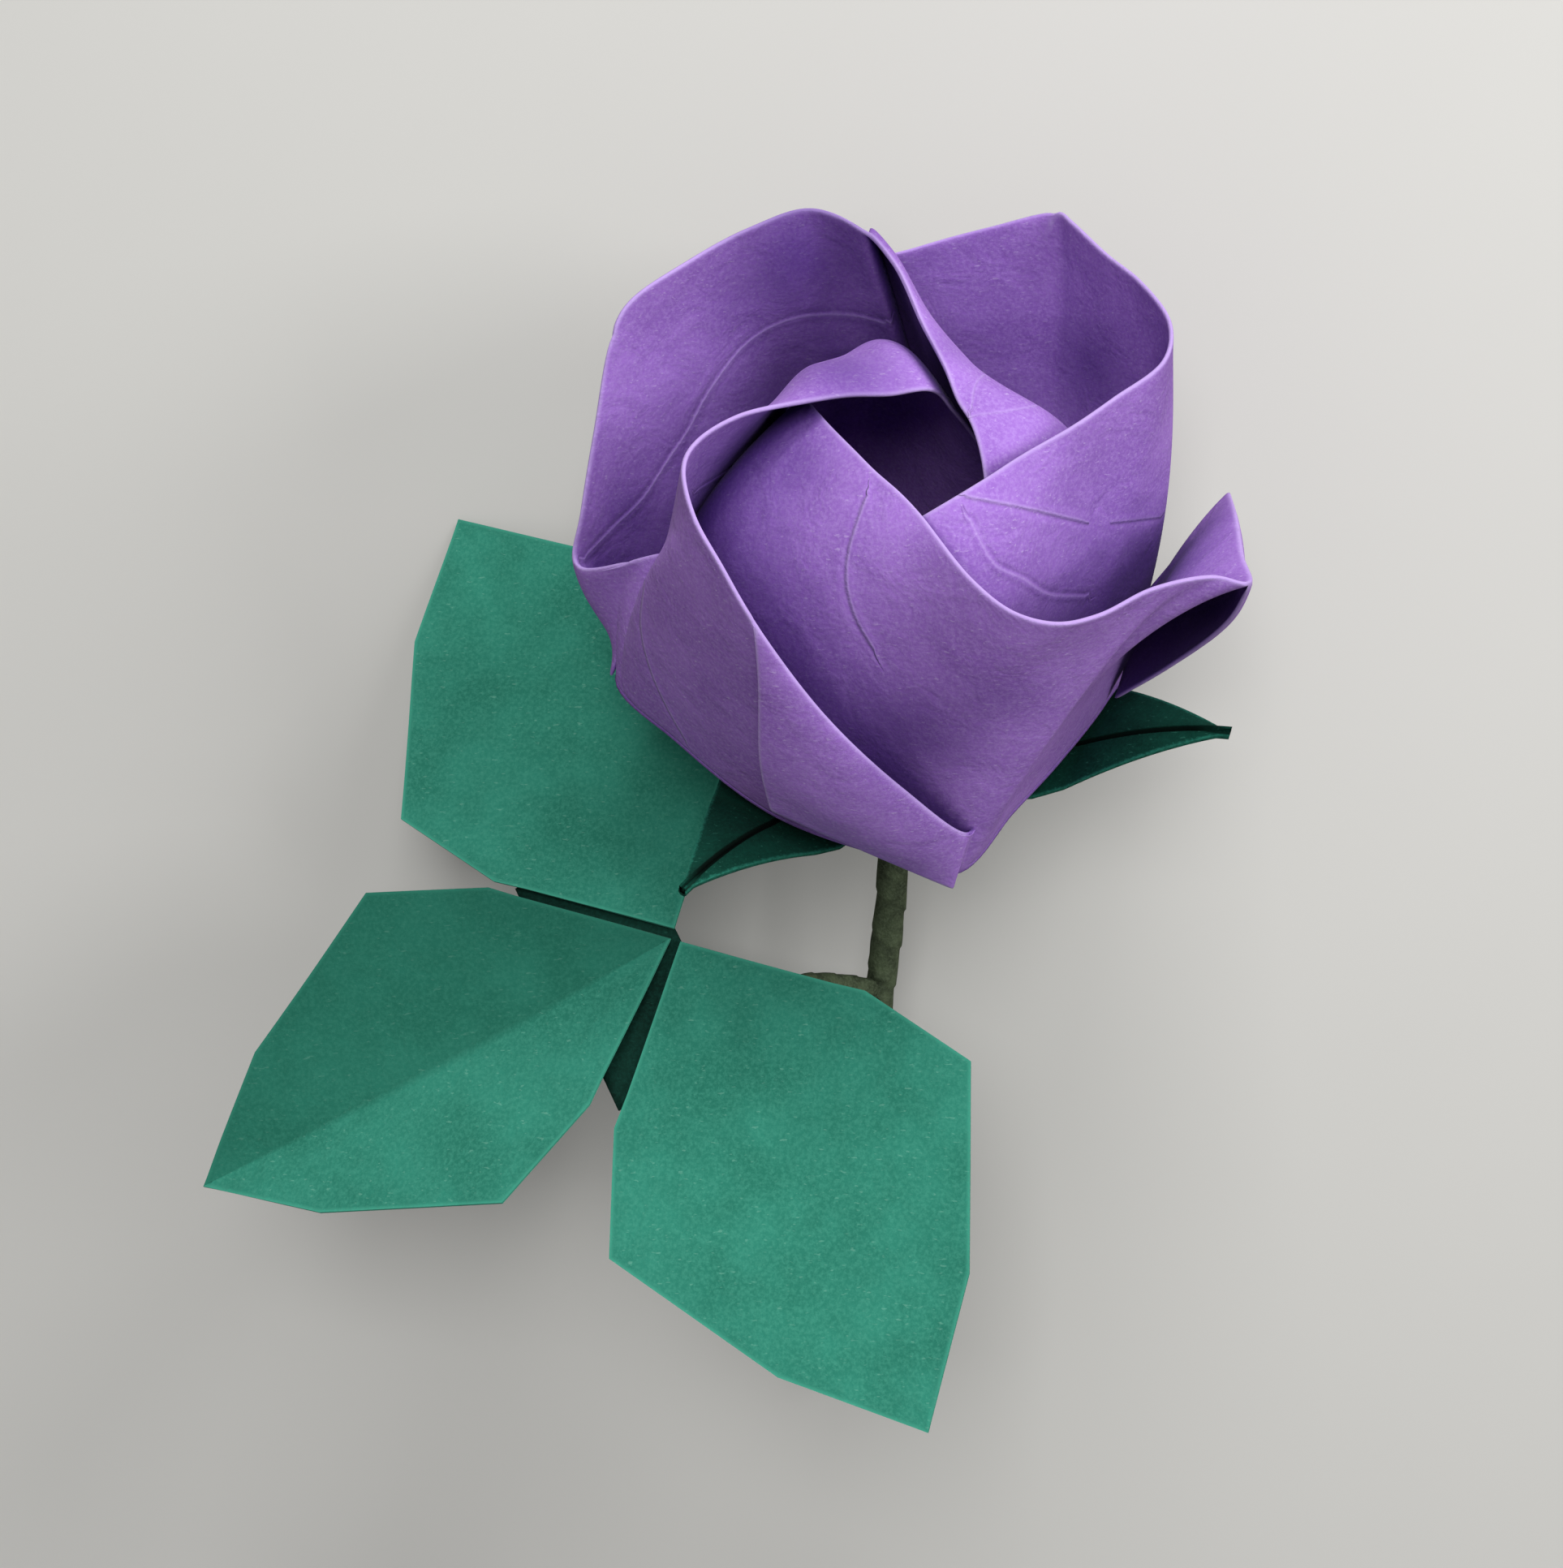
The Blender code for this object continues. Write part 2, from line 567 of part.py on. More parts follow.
def build():
    for thing in list(bpy.data.objects):
        bpy.data.objects.remove(thing)
    home = bpy.data.collections.new("paper_flower")
    bpy.context.scene.collection.children.link(home)
    edge = bottom_edge()
    violet = material("violet_paper", (0.22, 0.09, 0.42), 0.85)
    green = material("green_paper", (0.03, 0.25, 0.16), 0.85)
    dark_green = material("dark_green_paper", (0.01, 0.09, 0.06), 0.85)
    tape = material("floral_tape", (0.05, 0.07, 0.04), 0.7)
    steel = material("wire", (0.45, 0.45, 0.46), 0.35, 1.0)
    clear = material("glue", (0.8, 0.8, 0.78), 0.3)
    bloom = make_bloom(home, edge)
    calyx = make_calyx(home, edge)
    glue = make_glue(home, edge)
    stem_wire, stem_tape = make_stem(home)
    leaf = make_leaf(home)
    stalk_wire, stalk_tape = make_stalk(home)
    finishes = {bloom: violet, calyx: dark_green, glue: clear, stem_wire: steel,
                stem_tape: tape, leaf: green, stalk_wire: steel, stalk_tape: tape}
    for thing, paint in finishes.items():
        thing.data.materials.clear()
        thing.data.materials.append(paint)
    lay_down(list(finishes), [calyx, stem_tape, leaf])


build()
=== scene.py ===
# A violet paper rose with a folded leaf on a taped stem, dressed for a close look. The bloom,
# calyx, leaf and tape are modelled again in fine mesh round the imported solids.
import math

import bmesh
import bpy
from mathutils import Matrix, Vector, noise
from mathutils.bvhtree import BVHTree
from mathutils.kdtree import KDTree


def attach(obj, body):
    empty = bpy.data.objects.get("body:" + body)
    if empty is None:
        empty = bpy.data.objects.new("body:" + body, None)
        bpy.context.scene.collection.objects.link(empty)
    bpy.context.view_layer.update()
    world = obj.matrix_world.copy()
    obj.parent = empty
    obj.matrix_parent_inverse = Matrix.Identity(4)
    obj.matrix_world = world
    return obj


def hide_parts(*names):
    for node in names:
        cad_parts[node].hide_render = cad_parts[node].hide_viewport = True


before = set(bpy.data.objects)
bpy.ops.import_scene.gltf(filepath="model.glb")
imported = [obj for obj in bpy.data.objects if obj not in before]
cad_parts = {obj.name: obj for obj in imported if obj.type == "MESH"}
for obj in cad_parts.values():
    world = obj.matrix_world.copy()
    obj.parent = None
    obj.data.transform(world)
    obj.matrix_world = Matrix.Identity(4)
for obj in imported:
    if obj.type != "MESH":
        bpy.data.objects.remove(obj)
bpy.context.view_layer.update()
mm = 0.001
farAway = 9.0  # mm, the value of an edge or crease distance where there is none near

# The flower is drawn with its bloom's axis on Z, as the solids are, and is then laid down.
# up and ahead are where the world's Z and Y lie in that frame; bloomAt is in world mm.
laying = dict(up=(-0.18251, -0.8007, 0.57059), ahead=(-0.03, 0.79, 0.61),
              bloomAt=(20.443, 21.160, 26.223))

# The view of the photograph: the bloom's axis leans from the line of sight and rolls, and
# the middle of its rim shows at a pixel, at a height on the axis, at a distance.
viewPoint = dict(imageSize=(1926, 1932), focalPixels=2800, leanDegrees=38, rollDegrees=4.6,
                 rimPixel=(1144, 511), rimHeight=44, rimDistance=225)


def hexColour(text):
    # Turns an sRGB hex colour to the linear one that shaders take.
    return tuple(hexPart(int(text[i:i + 2], 16) / 255) for i in (1, 3, 5)) + (1,)


def hexPart(value):
    return value / 12.92 if value <= 0.04045 else ((value + 0.055) / 1.055) ** 2.4


def inMillimetres(point):
    return Vector(point) * mm


def polar(angle, radius, height):
    turn = math.radians(angle)
    return Vector((radius * math.cos(turn), radius * math.sin(turn), height)) * mm


def smoothStep(value):
    value = min(max(value, 0.0), 1.0)
    return value * value * (3 - 2 * value)


def layingMatrix():
    up = Vector(laying["up"]).normalized()
    ahead = Vector(laying["ahead"])
    ahead = (ahead - up * ahead.dot(up)).normalized()
    turn = Matrix((ahead.cross(up), ahead, up)).to_4x4()
    turn.translation = inMillimetres(laying["bloomAt"])
    return turn


def viewMatrix():
    # The camera's place in the flower's frame.
    lean, roll = (math.radians(viewPoint[key]) for key in ("leanDegrees", "rollDegrees"))
    axis = Vector((math.sin(lean) * math.sin(roll), math.sin(lean) * math.cos(roll), math.cos(lean)))
    side = (Vector((1, 0, 0)) - axis * axis.x).normalized()
    turn = Matrix((side, axis.cross(side), axis))
    away = viewPoint["rimDistance"] * mm
    rim = pixelRay(*viewPoint["rimPixel"]) * away
    bloom = rim - axis * viewPoint["rimHeight"] * mm
    place = turn.to_4x4()
    place.translation = turn @ -bloom
    return place


def pixelRay(across, down):
    # The direction in the camera's frame that shows at a pixel, one unit deep.
    wide, high = viewPoint["imageSize"]
    return Vector(((across - wide / 2) / viewPoint["focalPixels"],
                   (high / 2 - down) / viewPoint["focalPixels"], -1))


laid = layingMatrix()  # takes the flower as drawn to how it lies in the world
viewer = viewMatrix()
viewNow = laid @ viewer


def smoothCurve(points, closed=False, samples=40):
    # A centripetal curve through the points: its samples, and the share of its length at
    # which each of the points lies.
    total = len(points)
    line, marks = [], []
    for span in range(total if closed else total - 1):
        b, c = points[span], points[(span + 1) % total]
        a = points[span - 1] if closed or span else b * 2 - c
        d = points[(span + 2) % total] if closed or span + 2 < total else c * 2 - b
        t1 = (b - a).length ** 0.5
        t2 = t1 + (c - b).length ** 0.5
        t3 = t2 + (d - c).length ** 0.5
        marks.append(len(line))
        for step in range(samples):
            t = t1 + (t2 - t1) * step / samples
            ab = a.lerp(b, t / t1)
            bc = b.lerp(c, (t - t1) / (t2 - t1))
            cd = c.lerp(d, (t - t2) / (t3 - t2))
            line.append(ab.lerp(bc, t / t2).lerp(bc.lerp(cd, (t - t1) / (t3 - t1)),
                                                 (t - t1) / (t2 - t1)))
    marks.append(len(line))
    line.append(points[0].copy() if closed else points[-1].copy())
    lengths = [0.0]
    for start, end in zip(line, line[1:]):
        lengths.append(lengths[-1] + (end - start).length)
    shares = [length / lengths[-1] for length in lengths]
    return line, shares, [shares[mark] for mark in marks]


def pointAt(line, shares, share):
    low, high = 0, len(shares) - 1
    while high - low > 1:
        middle = (low + high) // 2
        if shares[middle] <= share:
            low = middle
        else:
            high = middle
    span = max(shares[high] - shares[low], 1e-12)
    return line[low].lerp(line[high], min(max((share - shares[low]) / span, 0.0), 1.0))


def evenly(line, shares, count):
    return [pointAt(line, shares, index / (count - 1)) for index in range(count)]


def newObject(name, points, faces, attributes=None):
    mesh = bpy.data.meshes.new(name)
    mesh.from_pydata([tuple(p) for p in points], [], faces)
    for key, values in (attributes or {}).items():
        mesh.attributes.new(key, "FLOAT", "POINT").data.foreach_set("value", values)
    thing = bpy.data.objects.new(name, mesh)
    bpy.context.scene.collection.objects.link(thing)
    return thing


def gridFaces(columns, rows, closed=False):
    faces = []
    for c in range(columns if closed else columns - 1):
        n = (c + 1) % columns
        for r in range(rows - 1):
            faces.append((c * rows + r, n * rows + r, n * rows + r + 1, c * rows + r + 1))
    return faces


def ringFaces(rings, around):
    # The walls between each closed ring of points and the next.
    faces = []
    for ring in range(rings - 1):
        for c in range(around):
            n = (c + 1) % around
            faces.append((ring * around + c, ring * around + n, (ring + 1) * around + n,
                          (ring + 1) * around + c))
    return faces


def sawTooth(phase, turnsAt):
    # Rises slowly to the edge of a lap and drops quickly behind it.
    return phase if phase < turnsAt else (1 - phase) / (1 - turnsAt) * turnsAt


def thicken(thing, thickness, rimSlot=1, backSlot=0):
    # Gives a sheet its thickness. Its cut edge and its back take the materials at these slots.
    paper = thing.modifiers.new("paper", "SOLIDIFY")
    paper.thickness = thickness
    paper.offset = 0
    paper.material_offset_rim = rimSlot
    paper.material_offset = backSlot


def soften(thing):
    rounding = thing.modifiers.new("rounding", "SUBSURF")
    rounding.levels = 1
    rounding.render_levels = 1


def finishPiece(thing, materials, nodes, sharp=180):
    # Applies the modifiers, lays the piece down with the flower and hands it to the frame.
    bpy.context.view_layer.update()
    made = thing.evaluated_get(bpy.context.evaluated_depsgraph_get())
    mesh = bpy.data.meshes.new_from_object(made)
    thing.modifiers.clear()
    thing.data = mesh
    mesh.transform(laid)
    mesh.materials.clear()
    for paint in materials:
        mesh.materials.append(paint)
    mesh.polygons.foreach_set("use_smooth", [True] * len(mesh.polygons))
    if sharp < 180:
        mesh.set_sharp_from_angle(angle=math.radians(sharp))
    mesh.update()
    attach(thing, "root")
    if nodes:
        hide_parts(*nodes)
    return thing


def fillInputs(tree, node, inputs):
    # Links the inputs that are given another node's output, and sets the others.
    for key, value in inputs.items():
        if isinstance(value, bpy.types.NodeSocket):
            tree.links.new(value, node.inputs[key])
        else:
            node.inputs[key].default_value = value


def addNode(tree, kind, inputs=None, out=0, **settings):
    # Adds a node with its settings and links, and gives one of its outputs.
    node = tree.nodes.new("ShaderNode" + kind)
    for key, value in settings.items():
        setattr(node, key, value)
    fillInputs(tree, node, inputs or {})
    return node.outputs[out]


def newMaterial(name):
    paint = bpy.data.materials.new(name)
    paint.use_nodes = True
    return paint, paint.node_tree, paint.node_tree.nodes["Principled BSDF"]


# What all the papers share: the fibres' stretch, how far a crease shakes and a worn edge is
# ragged, in mm, and how wide the paper's tilt at a crease spreads.
allPapers = dict(fibreStretch=(1, 3.5, 1.6), creaseShake=0.07, edgeRagged=0.2, tiltSpread=0.15)


def paperMaterial(name, look):
    # Dyed craft paper: matt and a little cloudy, with pale fibres in it that catch the
    # light, and paler where a fold or a cut has broken its surface. Sizes are in mm. The
    # real grain, near 0.1 mm, is too fine to show, so grain and fibres are drawn coarser.
    paint, tree, shader = newMaterial(name)
    place = addNode(tree, "TexCoord", out="Object")
    along = addNode(tree, "Mapping", {"Vector": place, "Scale": allPapers["fibreStretch"]})
    cloud = addNode(tree, "TexNoise", {"Vector": place, "Scale": 1 / (look["cloud"] * mm),
                                       "Detail": 3})
    crumple = addNode(tree, "TexNoise", {"Vector": place, "Scale": 1 / (look["crumple"] * mm),
                                         "Detail": 3, "Roughness": 0.55, "Distortion": 0.6})
    grain = addNode(tree, "TexNoise", {"Vector": place, "Scale": 1 / (look["grain"] * mm),
                                       "Detail": 4, "Roughness": 0.7})
    fibre = addNode(tree, "TexNoise", {"Vector": along, "Scale": 1 / (look["fibre"] * mm),
                                       "Detail": 2})
    tone = addNode(tree, "MapRange", {"Value": cloud, "From Min": 0.35, "From Max": 0.65})
    colour = addNode(tree, "Mix", {0: tone, 6: hexColour(look["dark"]),
                                   7: hexColour(look["base"])}, out=2, data_type="RGBA")
    fine = addNode(tree, "MapRange", {"Value": grain, "From Min": 0.42, "From Max": 0.66,
                                      "To Max": look["grainShows"]})
    fleck = addNode(tree, "MapRange", {"Value": fibre, "From Min": 0.66, "From Max": 0.72,
                                       "To Max": look["fibreShows"]})
    tints = [(fine, "pale"), (fleck, "fleck")]
    height = addNode(tree, "Math", {0: grain, 1: look["grainHeight"]}, operation="MULTIPLY")
    for rough, high in ((fibre, look["fibreHeight"]), (crumple, look["crumpleHeight"])):
        height = addNode(tree, "Math", {0: rough, 1: high, 2: height}, operation="MULTIPLY_ADD")
    shake, ragged = allPapers["creaseShake"], allPapers["edgeRagged"]
    for key, crease in look["creases"].items():
        off = addNode(tree, "Attribute", out="Fac", attribute_name=key)
        shaky = addNode(tree, "MapRange", {"Value": grain, "To Min": -shake, "To Max": shake})
        off = addNode(tree, "Math", {0: off, 1: shaky}, operation="ADD")
        near = addNode(tree, "Math", {0: off, 1: crease["wide"]}, operation="DIVIDE")
        square = addNode(tree, "Math", {0: near, 1: near}, operation="MULTIPLY")
        line = addNode(tree, "Math", {0: 1 / math.e, 1: square}, operation="POWER")
        close = addNode(tree, "Attribute", out="Fac", attribute_name=key + "Close")
        line = addNode(tree, "Math", {0: line, 1: close}, operation="MULTIPLY")
        broad = addNode(tree, "Math", {0: line, 1: allPapers["tiltSpread"]}, operation="POWER")
        broad = addNode(tree, "Math", {0: broad, 1: close}, operation="MULTIPLY")
        tilt = addNode(tree, "Math", {0: near, 1: broad}, operation="MULTIPLY")
        for rough, high in ((line, crease["ridge"]), (tilt, crease["tilt"])):
            height = addNode(tree, "Math", {0: rough, 1: high, 2: height},
                             operation="MULTIPLY_ADD")
        worn = addNode(tree, "Math", {0: line, 1: crease["shows"]}, operation="MULTIPLY")
        tints.append((worn, "edge"))
    off = addNode(tree, "Attribute", out="Fac", attribute_name="edge")
    shaky = addNode(tree, "MapRange", {"Value": grain, "From Min": 0.3, "From Max": 0.7,
                                       "To Min": -ragged, "To Max": ragged})
    off = addNode(tree, "Math", {0: off, 1: shaky}, operation="ADD")
    worn = addNode(tree, "MapRange", {"Value": off, "From Min": look["edgeWide"],
                                      "From Max": 0.1, "To Max": look["edgeShows"]})
    # Painted shade: the shade attribute mixes the paper towards its shaded colour.
    shade = addNode(tree, "Attribute", out="Fac", attribute_name="shade")
    for share, tint in tints + [(worn, "edge"), (shade, "shaded")]:
        colour = addNode(tree, "Mix", {0: share, 6: colour, 7: hexColour(look[tint])}, out=2,
                         data_type="RGBA")
    bump = addNode(tree, "Bump", {"Height": height, "Distance": mm, "Strength": 1.0})
    fillInputs(tree, shader, {"Base Color": colour, "Normal": bump, "Roughness": look["roughness"],
                              "Specular IOR Level": look["gloss"], "Sheen Roughness": 0.5,
                              "Sheen Weight": look["sheen"]})
    return paint


# The petals have the outlines that the solids have. Each is drawn from the direction of its
# outer corner: an angle in degrees from that direction, then a radius and a height in mm.
petals = {
    "backLeft": dict(
        corner=152,
        rim=[(-228, 16.0, 24), (-205, 10.0, 36), (-185, 6.8, 40), (-140, 4.6, 42),
             (-102, 4.9, 42.5), (-78, 7.8, 43), (-62, 13.8, 43.4), (-55, 23.0, 44),
             (-49, 28.4, 44.8), (-41, 32.2, 45.2), (-28, 32.2, 45), (-14, 32.9, 44),
             (-2, 35.1, 42)],
        ridge=[(2, 35.5, 40), (11, 35.2, 31), (19, 35.4, 23.5), (24, 35.7, 18), (30, 25.8, 24)],
        tuck=[], footTo=37,
        freeEdge=[(4, 35.0, 28), (5, 33.4, 18), (6, 31.0, 10)],
        flapFoot=(32, 31.8, 5.0), flare=0.1, dome=1.0, strip=12, bow=0, bulge=0.6),
    "backRight": dict(
        corner=62,
        rim=[(-205, 16.0, 24), (-180, 12.4, 36), (-155, 10.0, 40), (-115, 8.6, 42),
             (-81, 9.9, 42.2), (-60, 14.8, 43), (-49, 19.6, 43.3), (-41, 26.2, 44),
             (-31, 30.0, 44), (-18, 32.3, 43.6), (-9, 33.9, 43), (1, 37.4, 42.5)],
        ridge=[(4, 38.8, 42), (14, 37.2, 39.2), (26, 35.0, 37), (40, 32.0, 36)],
        tuck=[(44, 29.2, 33)], footTo=42,
        freeEdge=[(7, 37.0, 30), (9, 34.0, 19), (10, 31.0, 10)],
        flapFoot=(42, 31.0, 6.5), flare=0.1, dome=0.7, strip=0, bow=3.0, bulge=1.0),
    "frontRight": dict(
        corner=-28,
        rim=[(-208, 17.5, 24), (-197, 16.6, 34), (-184, 13.6, 38.6), (-166, 9.6, 39.8),
             (-140, 7.2, 40.3), (-107, 7.2, 41), (-80, 8.7, 41.2), (-66, 11.0, 41),
             (-50, 18.6, 40), (-42, 22.8, 39.1), (-34, 25.6, 39), (-25, 26.7, 39),
             (-11, 27.9, 39), (0, 32.0, 38.2)],
        ridge=[(3, 35.0, 37), (15, 33.6, 33.4), (35, 35.0, 27.4), (48, 38.6, 22)],
        tuck=[], footTo=37,
        freeEdge=[(7, 33.8, 28.5), (15, 29.4, 15), (20, 24.8, 5.4)],
        flapFoot=(42, 29.0, 12), flare=0.8, dome=0.6, strip=0, bow=0, bulge=3.0),
    "frontLeft": dict(
        corner=-118,
        rim=[(-200, 16.0, 24), (-178, 8.8, 37), (-160, 6.8, 41), (-122, 6.7, 41),
             (-95, 9.0, 41.5), (-78, 12.1, 42), (-62, 18.7, 43), (-52, 23.3, 43),
             (-45, 25.1, 42.8), (-34, 25.9, 41.2), (-22, 26.1, 39)],
        ridge=[(-12, 26.4, 35.6), (6, 26.0, 26.5), (26, 25.6, 16.5), (44, 25.6, 8)],
        tuck=[(50, 21.6, 8)], footTo=47,
        freeEdge=[(-8, 27.5, 29), (-5.5, 28.2, 18), (-4, 26.4, 8)],
        flapFoot=(41, 27.0, 0.2), flare=0.0, dome=1.1, strip=0, bow=0, bulge=0.6),
}

# What the petals share, and the bloom's bottom edge as it winds round under them. The start
# of each wall is tucked in behind the petals outside it, and a flat strip of it may show
# there. domed and belled are the lean in mm at which a wall is fully so, then how it bends.
bloom = dict(footFrom=-178, tuckedUntil=-50, twiceTuckedUntil=-140, tuckOver=25, inset=1.6,
             barrel=0.9, stripFrom=-105, stripUntil=-46, stripFades=(25, 6),
             domed=(12, 0.62, 0.22), belled=(10, 0.5, 0.4), paper=0.5, rimColumns=118,
             ridgeColumns=34, tuckColumns=8, wallRows=30, rowsCrowd=1.25, flapRows=18,
             cutSamples=700, creaseReach=2.2,
             bottomSag=4.0, bottomThick=1.2, bottomLip=0.5, holeRadius=1.0,
             edge=[(-176, 31.0, 5.0), (-157, 26.0, 4.2), (-126, 22.6, 2.2), (-93, 22.4, 0.8),
                   (-75, 24.9, 0.4), (-52, 20.9, 1.6), (-30, 20.9, 3.0), (-6, 24.0, 4.2),
                   (8, 27.0, 4.6), (34, 22.6, 4.4), (60, 22.4, 4.4), (84, 25.4, 4.6),
                   (99, 28.6, 4.6), (125, 23.4, 4.8), (158, 25.0, 5.0)])

# Creases and crinkles, drawn over the photograph on the petal that has them: up to three a
# petal, each a line of pixels.
petalCreases = {
    "backLeft": [[(1091, 397), (1056, 388), (992, 388), (952, 400), (917, 423), (888, 458),
                  (865, 493), (847, 528), (824, 562), (789, 615), (754, 649), (720, 684)],
                 [(1219, 435), (1218, 455), (1201, 475), (1197, 499)],
                 [(1201, 513), (1240, 508), (1283, 501)]],
    "backRight": [[(1190, 612), (1265, 626), (1336, 642)],
                  [(1195, 641), (1207, 667), (1225, 696), (1259, 713), (1288, 731), (1335, 734)],
                  [(1364, 643), (1428, 636)]],
    "frontRight": [[(1068, 615), (1048, 678), (1045, 719), (1056, 760), (1079, 800)]],
    "frontLeft": [[(798, 713), (792, 771), (804, 824), (824, 870), (847, 911)],
                  [(860, 600), (885, 585), (920, 562), (960, 545)]],
}

violetLook = dict(base="#986dc2", dark="#8a60b4", pale="#ac8dd0", fleck="#cbb9e0", edge="#b7a0d6",
                  cloud=9.0, crumple=5.0, grain=0.42, fibre=0.9, grainShows=0.5, fibreShows=0.35,
                  grainHeight=0.05, fibreHeight=0.02, crumpleHeight=0.35, edgeWide=0.5,
                  edgeShows=0.65, roughness=0.9, gloss=0.12, sheen=0.03, shaded="#341466",
                  creases={"creaseA": dict(wide=0.2, ridge=0.08, tilt=0.06, shows=0.45),
                           "creaseB": dict(wide=0.17, ridge=0.06, tilt=-0.07, shows=0.3),
                           "creaseC": dict(wide=0.18, ridge=0.06, tilt=0.05, shows=0.28)})
# A cut edge is paler, because the dye hasn't soaked all the way in.
violetEdge = dict(violetLook, base="#a78acb", dark="#9579b9", pale="#bda5da", fleck="#dccfee",
                  creases={})


def edgeDirections():
    # The bottom edge as (angle, radius, height), sorted by angle.
    line = smoothCurve([polar(*corner) for corner in bloom["edge"]], True)[0]
    found = [(math.degrees(math.atan2(p.y, p.x)), p.xy.length, p.z) for p in line[:-1]]
    found.sort()
    first, last = found[0], found[-1]
    return [(last[0] - 360, *last[1:])] + found + [(first[0] + 360, *first[1:])]


bottomEdge = edgeDirections()


def edgePoint(angle):
    angle = (angle + 180) % 360 - 180
    low, high = next(pair for pair in zip(bottomEdge, bottomEdge[1:])
                     if pair[0][0] <= angle <= pair[1][0])
    share = (angle - low[0]) / max(high[0] - low[0], 1e-9)
    radius = low[1] + (high[1] - low[1]) * share
    turn = math.radians(angle)
    return Vector((radius * math.cos(turn), radius * math.sin(turn),
                   low[2] + (high[2] - low[2]) * share))


def petalPoint(petal, point):
    angle, radius, height = point
    return polar(petal["corner"] + angle, radius, height)


def stripShare(petal, high):
    # How much of the flat strip, which shows inside the next petal, lies below a rim point.
    if not petal["strip"]:
        return 0.0
    turned = (math.degrees(math.atan2(high.y, high.x)) - petal["corner"] + 180) % 360 - 180
    fadeIn, fadeOut = bloom["stripFades"]
    return (smoothStep((turned - bloom["stripFrom"]) / fadeIn)
            * smoothStep((bloom["stripUntil"] - turned) / fadeOut))


def wallLine(petal, high, share, shares):
    # One line down a petal's wall, from its rim or ridge to its foot.
    angle = bloom["footFrom"] + (petal["footTo"] - bloom["footFrom"]) * share
    low = edgePoint(petal["corner"] + angle)
    twice = smoothStep((bloom["twiceTuckedUntil"] - angle) / bloom["tuckOver"])
    tucked = smoothStep((bloom["tuckedUntil"] - angle) / bloom["tuckOver"]) + twice
    out = Vector((low.x, low.y, 0)).normalized()
    low = low - out * bloom["inset"] * mm * tucked
    strip = high.xy + high.xy.normalized() * petal["strip"] * mm
    shoulder = Vector((*low.xy.lerp(strip, stripShare(petal, high)), high.z))
    lean = (shoulder.xy.length - high.xy.length) / mm
    domeLean, domeHigh, domeLow = bloom["domed"]
    bellLean, bellHigh, bellLow = bloom["belled"]
    dome = smoothStep(lean / domeLean) * petal["dome"] * (1 - 0.6 * twice)
    bell = smoothStep(-lean / bellLean) * petal["flare"]
    bow = (bloom["barrel"] + petal["bow"] * (1 - min(tucked, 1))) * mm
    upper = high.lerp(low, 1 / 3) + out * bow
    lower = high.lerp(low, 2 / 3) + out * bow
    upper = upper.lerp(high.lerp(shoulder, domeHigh), dome)
    upper = upper.lerp(high.lerp(shoulder, bellHigh), bell)
    lower = lower.lerp(shoulder.lerp(low, domeLow), dome)
    lower = lower.lerp(shoulder.lerp(low, bellLow), bell)
    return [high * (1 - t) ** 3 + upper * 3 * t * (1 - t) ** 2 + lower * 3 * t * t * (1 - t)
            + low * t ** 3 for t in shares]


def flapLines(petal, ridge, rows):
    # The turned-out flap's lines, from each ridge point to the flap's foot.
    columns = len(ridge)
    line, shares = smoothCurve([ridge[0]] + [petalPoint(petal, p) for p in petal["freeEdge"]])[:2]
    free = evenly(line, shares, rows)
    last = petalPoint(petal, petal["flapFoot"])
    end = [ridge[-1].lerp(last, step / (rows - 1)) for step in range(rows)]
    foot = [free[-1].lerp(last, step / (columns - 1)) for step in range(columns)]
    lines = []
    for c in range(columns):
        u = c / (columns - 1)
        made = []
        for r in range(rows):
            v = r / (rows - 1)
            along = ridge[c] * (1 - v) + foot[c] * v
            across = free[r] * (1 - u) + end[r] * u
            corners = (ridge[0] * (1 - u) * (1 - v) + ridge[-1] * u * (1 - v)
                       + foot[0] * (1 - u) * v + foot[-1] * u * v)
            point = along + across - corners
            out = Vector((point.x, point.y, 0)).normalized()
            swell = 16 * u * (1 - u) * v * (1 - v)
            made.append(point + out * petal["bulge"] * mm * swell)
        lines.append(made)
    return lines


def treeOf(places):
    tree = KDTree(len(places))
    for index, place in enumerate(places):
        tree.insert(place, index)
    tree.balance()
    return tree


def distancesTo(points, places):
    # Each point's distance in mm to the nearest of some places.
    tree = treeOf(places)
    return [min(tree.find(point)[2] / mm, farAway) for point in points]


def creaseDistances(points, sheet, pixels):
    # Each point's distance in mm to a crease that shows at a line of pixels, negative on one
    # side. Where a sheet has no such crease, its "Close" value is 0 and none is drawn.
    eye = viewer.translation
    marks = []
    line, shares = smoothCurve([Vector((x, y, 0)) for x, y in pixels])[:2]
    for pixel in evenly(line, shares, 40):
        ray = (viewer.to_3x3() @ pixelRay(pixel.x, pixel.y)).normalized()
        hit = sheet.ray_cast(eye, ray)[0]
        if hit:
            marks.append(hit)
    if len(marks) < 2:
        return [farAway] * len(points)
    tree = treeOf(marks)
    found = []
    for point in points:
        _, index, far = tree.find(point)
        if far > farAway * mm:
            found.append(farAway)
            continue
        low, high = max(index - 1, 0), min(index + 1, len(marks) - 1)
        along = marks[high] - marks[low]
        gaps = []
        for a, b in ((marks[low], marks[index]), (marks[index], marks[high])):
            step = b - a
            if step.length_squared > 0:
                t = min(max((point - a).dot(step) / step.length_squared, 0.0), 1.0)
                gaps.append((point - a - step * t).length)
        side = along.cross(marks[index] - eye).dot(point - marks[index])
        found.append(math.copysign(min(gaps) / mm, side))
    return found


